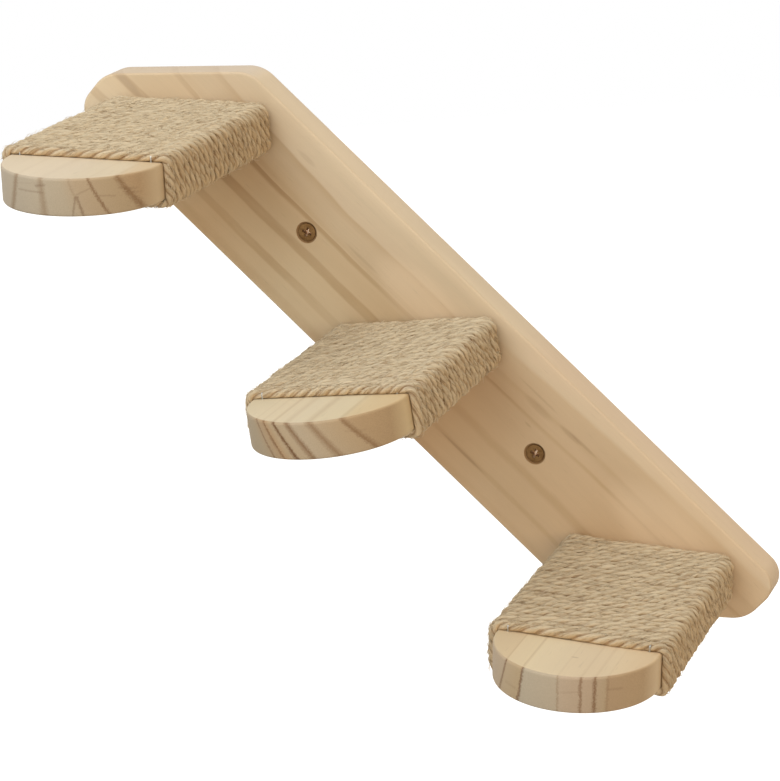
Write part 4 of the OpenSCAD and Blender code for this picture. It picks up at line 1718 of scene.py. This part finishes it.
class LADDER_OT_stage(bpy.types.Operator):
    """Sets the camera, the lamps, the white surroundings and the floor"""

    bl_idname = "ladder.stage"
    bl_label = "Stage"

    def execute(self, context):
        stage = context.scene.ladder_stage
        scene = context.scene
        camera = bpy.data.cameras.new("camera")
        camera.sensor_fit = "HORIZONTAL"
        camera.sensor_width = CAMERA_SENSOR
        camera.lens = CAMERA_LENS
        camera.clip_start = 0.05
        camera.clip_end = 50.0
        holder = bpy.data.objects.new("camera", camera)
        scene.collection.objects.link(holder)
        holder.matrix_world = camera_matrix()
        scene.camera = holder
        add_lamp("top_lamp", *TOP_LAMP, stage.top_lamp, tuple(stage.top_colour))
        add_lamp("side_lamp", *SIDE_LAMP, stage.side_lamp, tuple(stage.side_colour))
        add_lamp("front_lamp", *FRONT_LAMP, stage.front_lamp)
        make_world(stage.room_light, tuple(stage.room_colour))
        make_floor(stage.floor_drop)
        scene.view_settings.view_transform = "Standard"
        return {"FINISHED"}


class LADDER_OT_back_board(bpy.types.Operator):
    """Makes the sloping back board of pine"""

    bl_idname = "ladder.back_board"
    bl_label = "Back board"

    def execute(self, context):
        scene = context.scene
        made = make_board(scene.ladder_board, scene.ladder_steps, scene.ladder_screws)
        finish = board_pine(scene.ladder_steps, scene.ladder_colours)
        give_finish(made, finish, ["back_board"])
        return {"FINISHED"}


class LADDER_OT_steps(bpy.types.Operator):
    """Makes the three round-nosed steps of pine"""

    bl_idname = "ladder.steps"
    bl_label = "Steps"

    def execute(self, context):
        scene = context.scene
        for rank, name in enumerate(RANKS):
            made = make_step(scene.ladder_steps, scene.ladder_screws, rank)
            give_finish(made, step_pine(scene.ladder_steps, rank), [f"{name}_step"])
        return {"FINISHED"}


class LADDER_OT_ropes(bpy.types.Operator):
    """Winds each step in one length of three-strand jute rope"""

    bl_idname = "ladder.ropes"
    bl_label = "Rope windings"

    def execute(self, context):
        scene = context.scene
        for rank, name in enumerate(RANKS):
            made = make_rope(scene.ladder_steps, scene.ladder_rope, rank)
            give_finish(made, shared_finish("jute_rope", jute_finish), [f"{name}_rope"])
        return {"FINISHED"}


class LADDER_OT_wall_screws(bpy.types.Operator):
    """Makes the two bronze-coloured screws that hold the board to the wall"""

    bl_idname = "ladder.wall_screws"
    bl_label = "Wall screws"

    def execute(self, context):
        scene = context.scene
        screws = scene.ladder_screws
        below = (screws.wall_sink - screws.wall_head) / 2 - HEAD_RISE
        sizes = (
            screws.wall_thread,
            WALL_SCREW_CORE,
            screws.wall_head,
            screws.wall_length,
            BOARD_DEPTH - below,
            WALL_SCREW_PITCH,
        )
        for name, place in zip(("upper", "lower"), wall_screw_places(scene.ladder_steps)):
            at = np.array(place) + np.array([0.0, below, 0.0])
            made = make_screw(f"{name}_wall_screw_bronze", at, True, sizes, 40)
            finish = shared_finish("bronze_plating", bronze_finish)
            give_finish(made, finish, [f"{name}_wall_screw"])
        return {"FINISHED"}


class LADDER_OT_step_screws(bpy.types.Operator):
    """Makes the screws that hold the steps from behind the board"""

    bl_idname = "ladder.step_screws"
    bl_label = "Step screws"

    def execute(self, context):
        scene = context.scene
        screws = scene.ladder_screws
        below = (screws.step_sink - screws.step_head) / 2 - HEAD_RISE
        sizes = (
            screws.step_thread,
            STEP_SCREW_CORE,
            screws.step_head,
            screws.step_length,
            BOARD_DEPTH,
            STEP_SCREW_PITCH,
        )
        for rank, rank_name in enumerate(RANKS):
            places = step_screw_places(scene.ladder_steps, screws, rank)
            for side_name, place in zip(("left", "right"), places):
                at = place - np.array([0.0, below, 0.0])
                node = f"{rank_name}_step_screw_{side_name}"
                made = make_screw(f"{node}_zinc", at, False, sizes, 32)
                give_finish(made, shared_finish("zinc_plating", zinc_finish), [node])
        return {"FINISHED"}


class LADDER_OT_staples(bpy.types.Operator):
    """Makes the staples that hold the rope's first turn and its two ends"""

    bl_idname = "ladder.staples"
    bl_label = "Staples"

    def execute(self, context):
        scene = context.scene
        steps = scene.ladder_steps
        for rank, rank_name in enumerate(RANKS):
            spots, pitch = staple_spots(steps, scene.ladder_rope, rank)
            crown = steps.thickness / 2 + 0.62 * scene.ladder_rope.depth
            path = staple_path(0.9 * pitch, crown, STAPLE_LEG, STAPLE_THICK)
            for spot_name, (across, side, depth) in spots.items():
                points, faces = bent_wire(path, STAPLE_WIDE, STAPLE_THICK)
                points = points * np.array([1.0, 1.0, side]) + np.array([across, depth, 0.0])
                if side < 0:
                    faces = [group[:, ::-1] for group in faces]
                node = f"{rank_name}_staple_{spot_name}"
                made = put_mesh(f"{node}_zinc", on_step(points, steps, rank), faces)
                mark_sharp(made, 50)
                give_finish(made, shared_finish("zinc_plating", zinc_finish), [node])
        return {"FINISHED"}


class LADDER_PT_panel(bpy.types.Panel):
    """Lists what makes the cat ladder, piece by piece"""

    bl_label = "Cat ladder"
    bl_idname = "LADDER_PT_panel"
    bl_space_type = "VIEW_3D"
    bl_region_type = "UI"
    bl_category = "Cat ladder"

    def draw(self, context):
        column = self.layout.column(align=True)
        for maker in MAKERS:
            column.operator(maker.bl_idname)


SETTINGS = {
    "ladder_board": LadderBoardSizes,
    "ladder_steps": LadderStepSizes,
    "ladder_rope": LadderRopeSizes,
    "ladder_screws": LadderScrewSizes,
    "ladder_colours": LadderColours,
    "ladder_stage": LadderStageSizes,
}
MAKERS = [
    LADDER_OT_stage,
    LADDER_OT_back_board,
    LADDER_OT_steps,
    LADDER_OT_ropes,
    LADDER_OT_wall_screws,
    LADDER_OT_step_screws,
    LADDER_OT_staples,
]


def register():
    """Registers the settings, the operators and the panel."""
    for name, settings in SETTINGS.items():
        bpy.utils.register_class(settings)
        setattr(bpy.types.Scene, name, bpy.props.PointerProperty(type=settings))
    for maker in MAKERS:
        bpy.utils.register_class(maker)
    bpy.utils.register_class(LADDER_PT_panel)


def unregister():
    """Takes the panel, the operators and the settings out again."""
    bpy.utils.unregister_class(LADDER_PT_panel)
    for maker in reversed(MAKERS):
        bpy.utils.unregister_class(maker)
    for name, settings in SETTINGS.items():
        delattr(bpy.types.Scene, name)
        bpy.utils.unregister_class(settings)


def main():
    """Makes the stage and every piece."""
    register()
    for maker in (
        bpy.ops.ladder.stage,
        bpy.ops.ladder.back_board,
        bpy.ops.ladder.steps,
        bpy.ops.ladder.ropes,
        bpy.ops.ladder.wall_screws,
        bpy.ops.ladder.step_screws,
        bpy.ops.ladder.staples,
    ):
        if maker() != {"FINISHED"}:
            raise RuntimeError("a piece wasn't made")


if __name__ == "__main__":
    main()
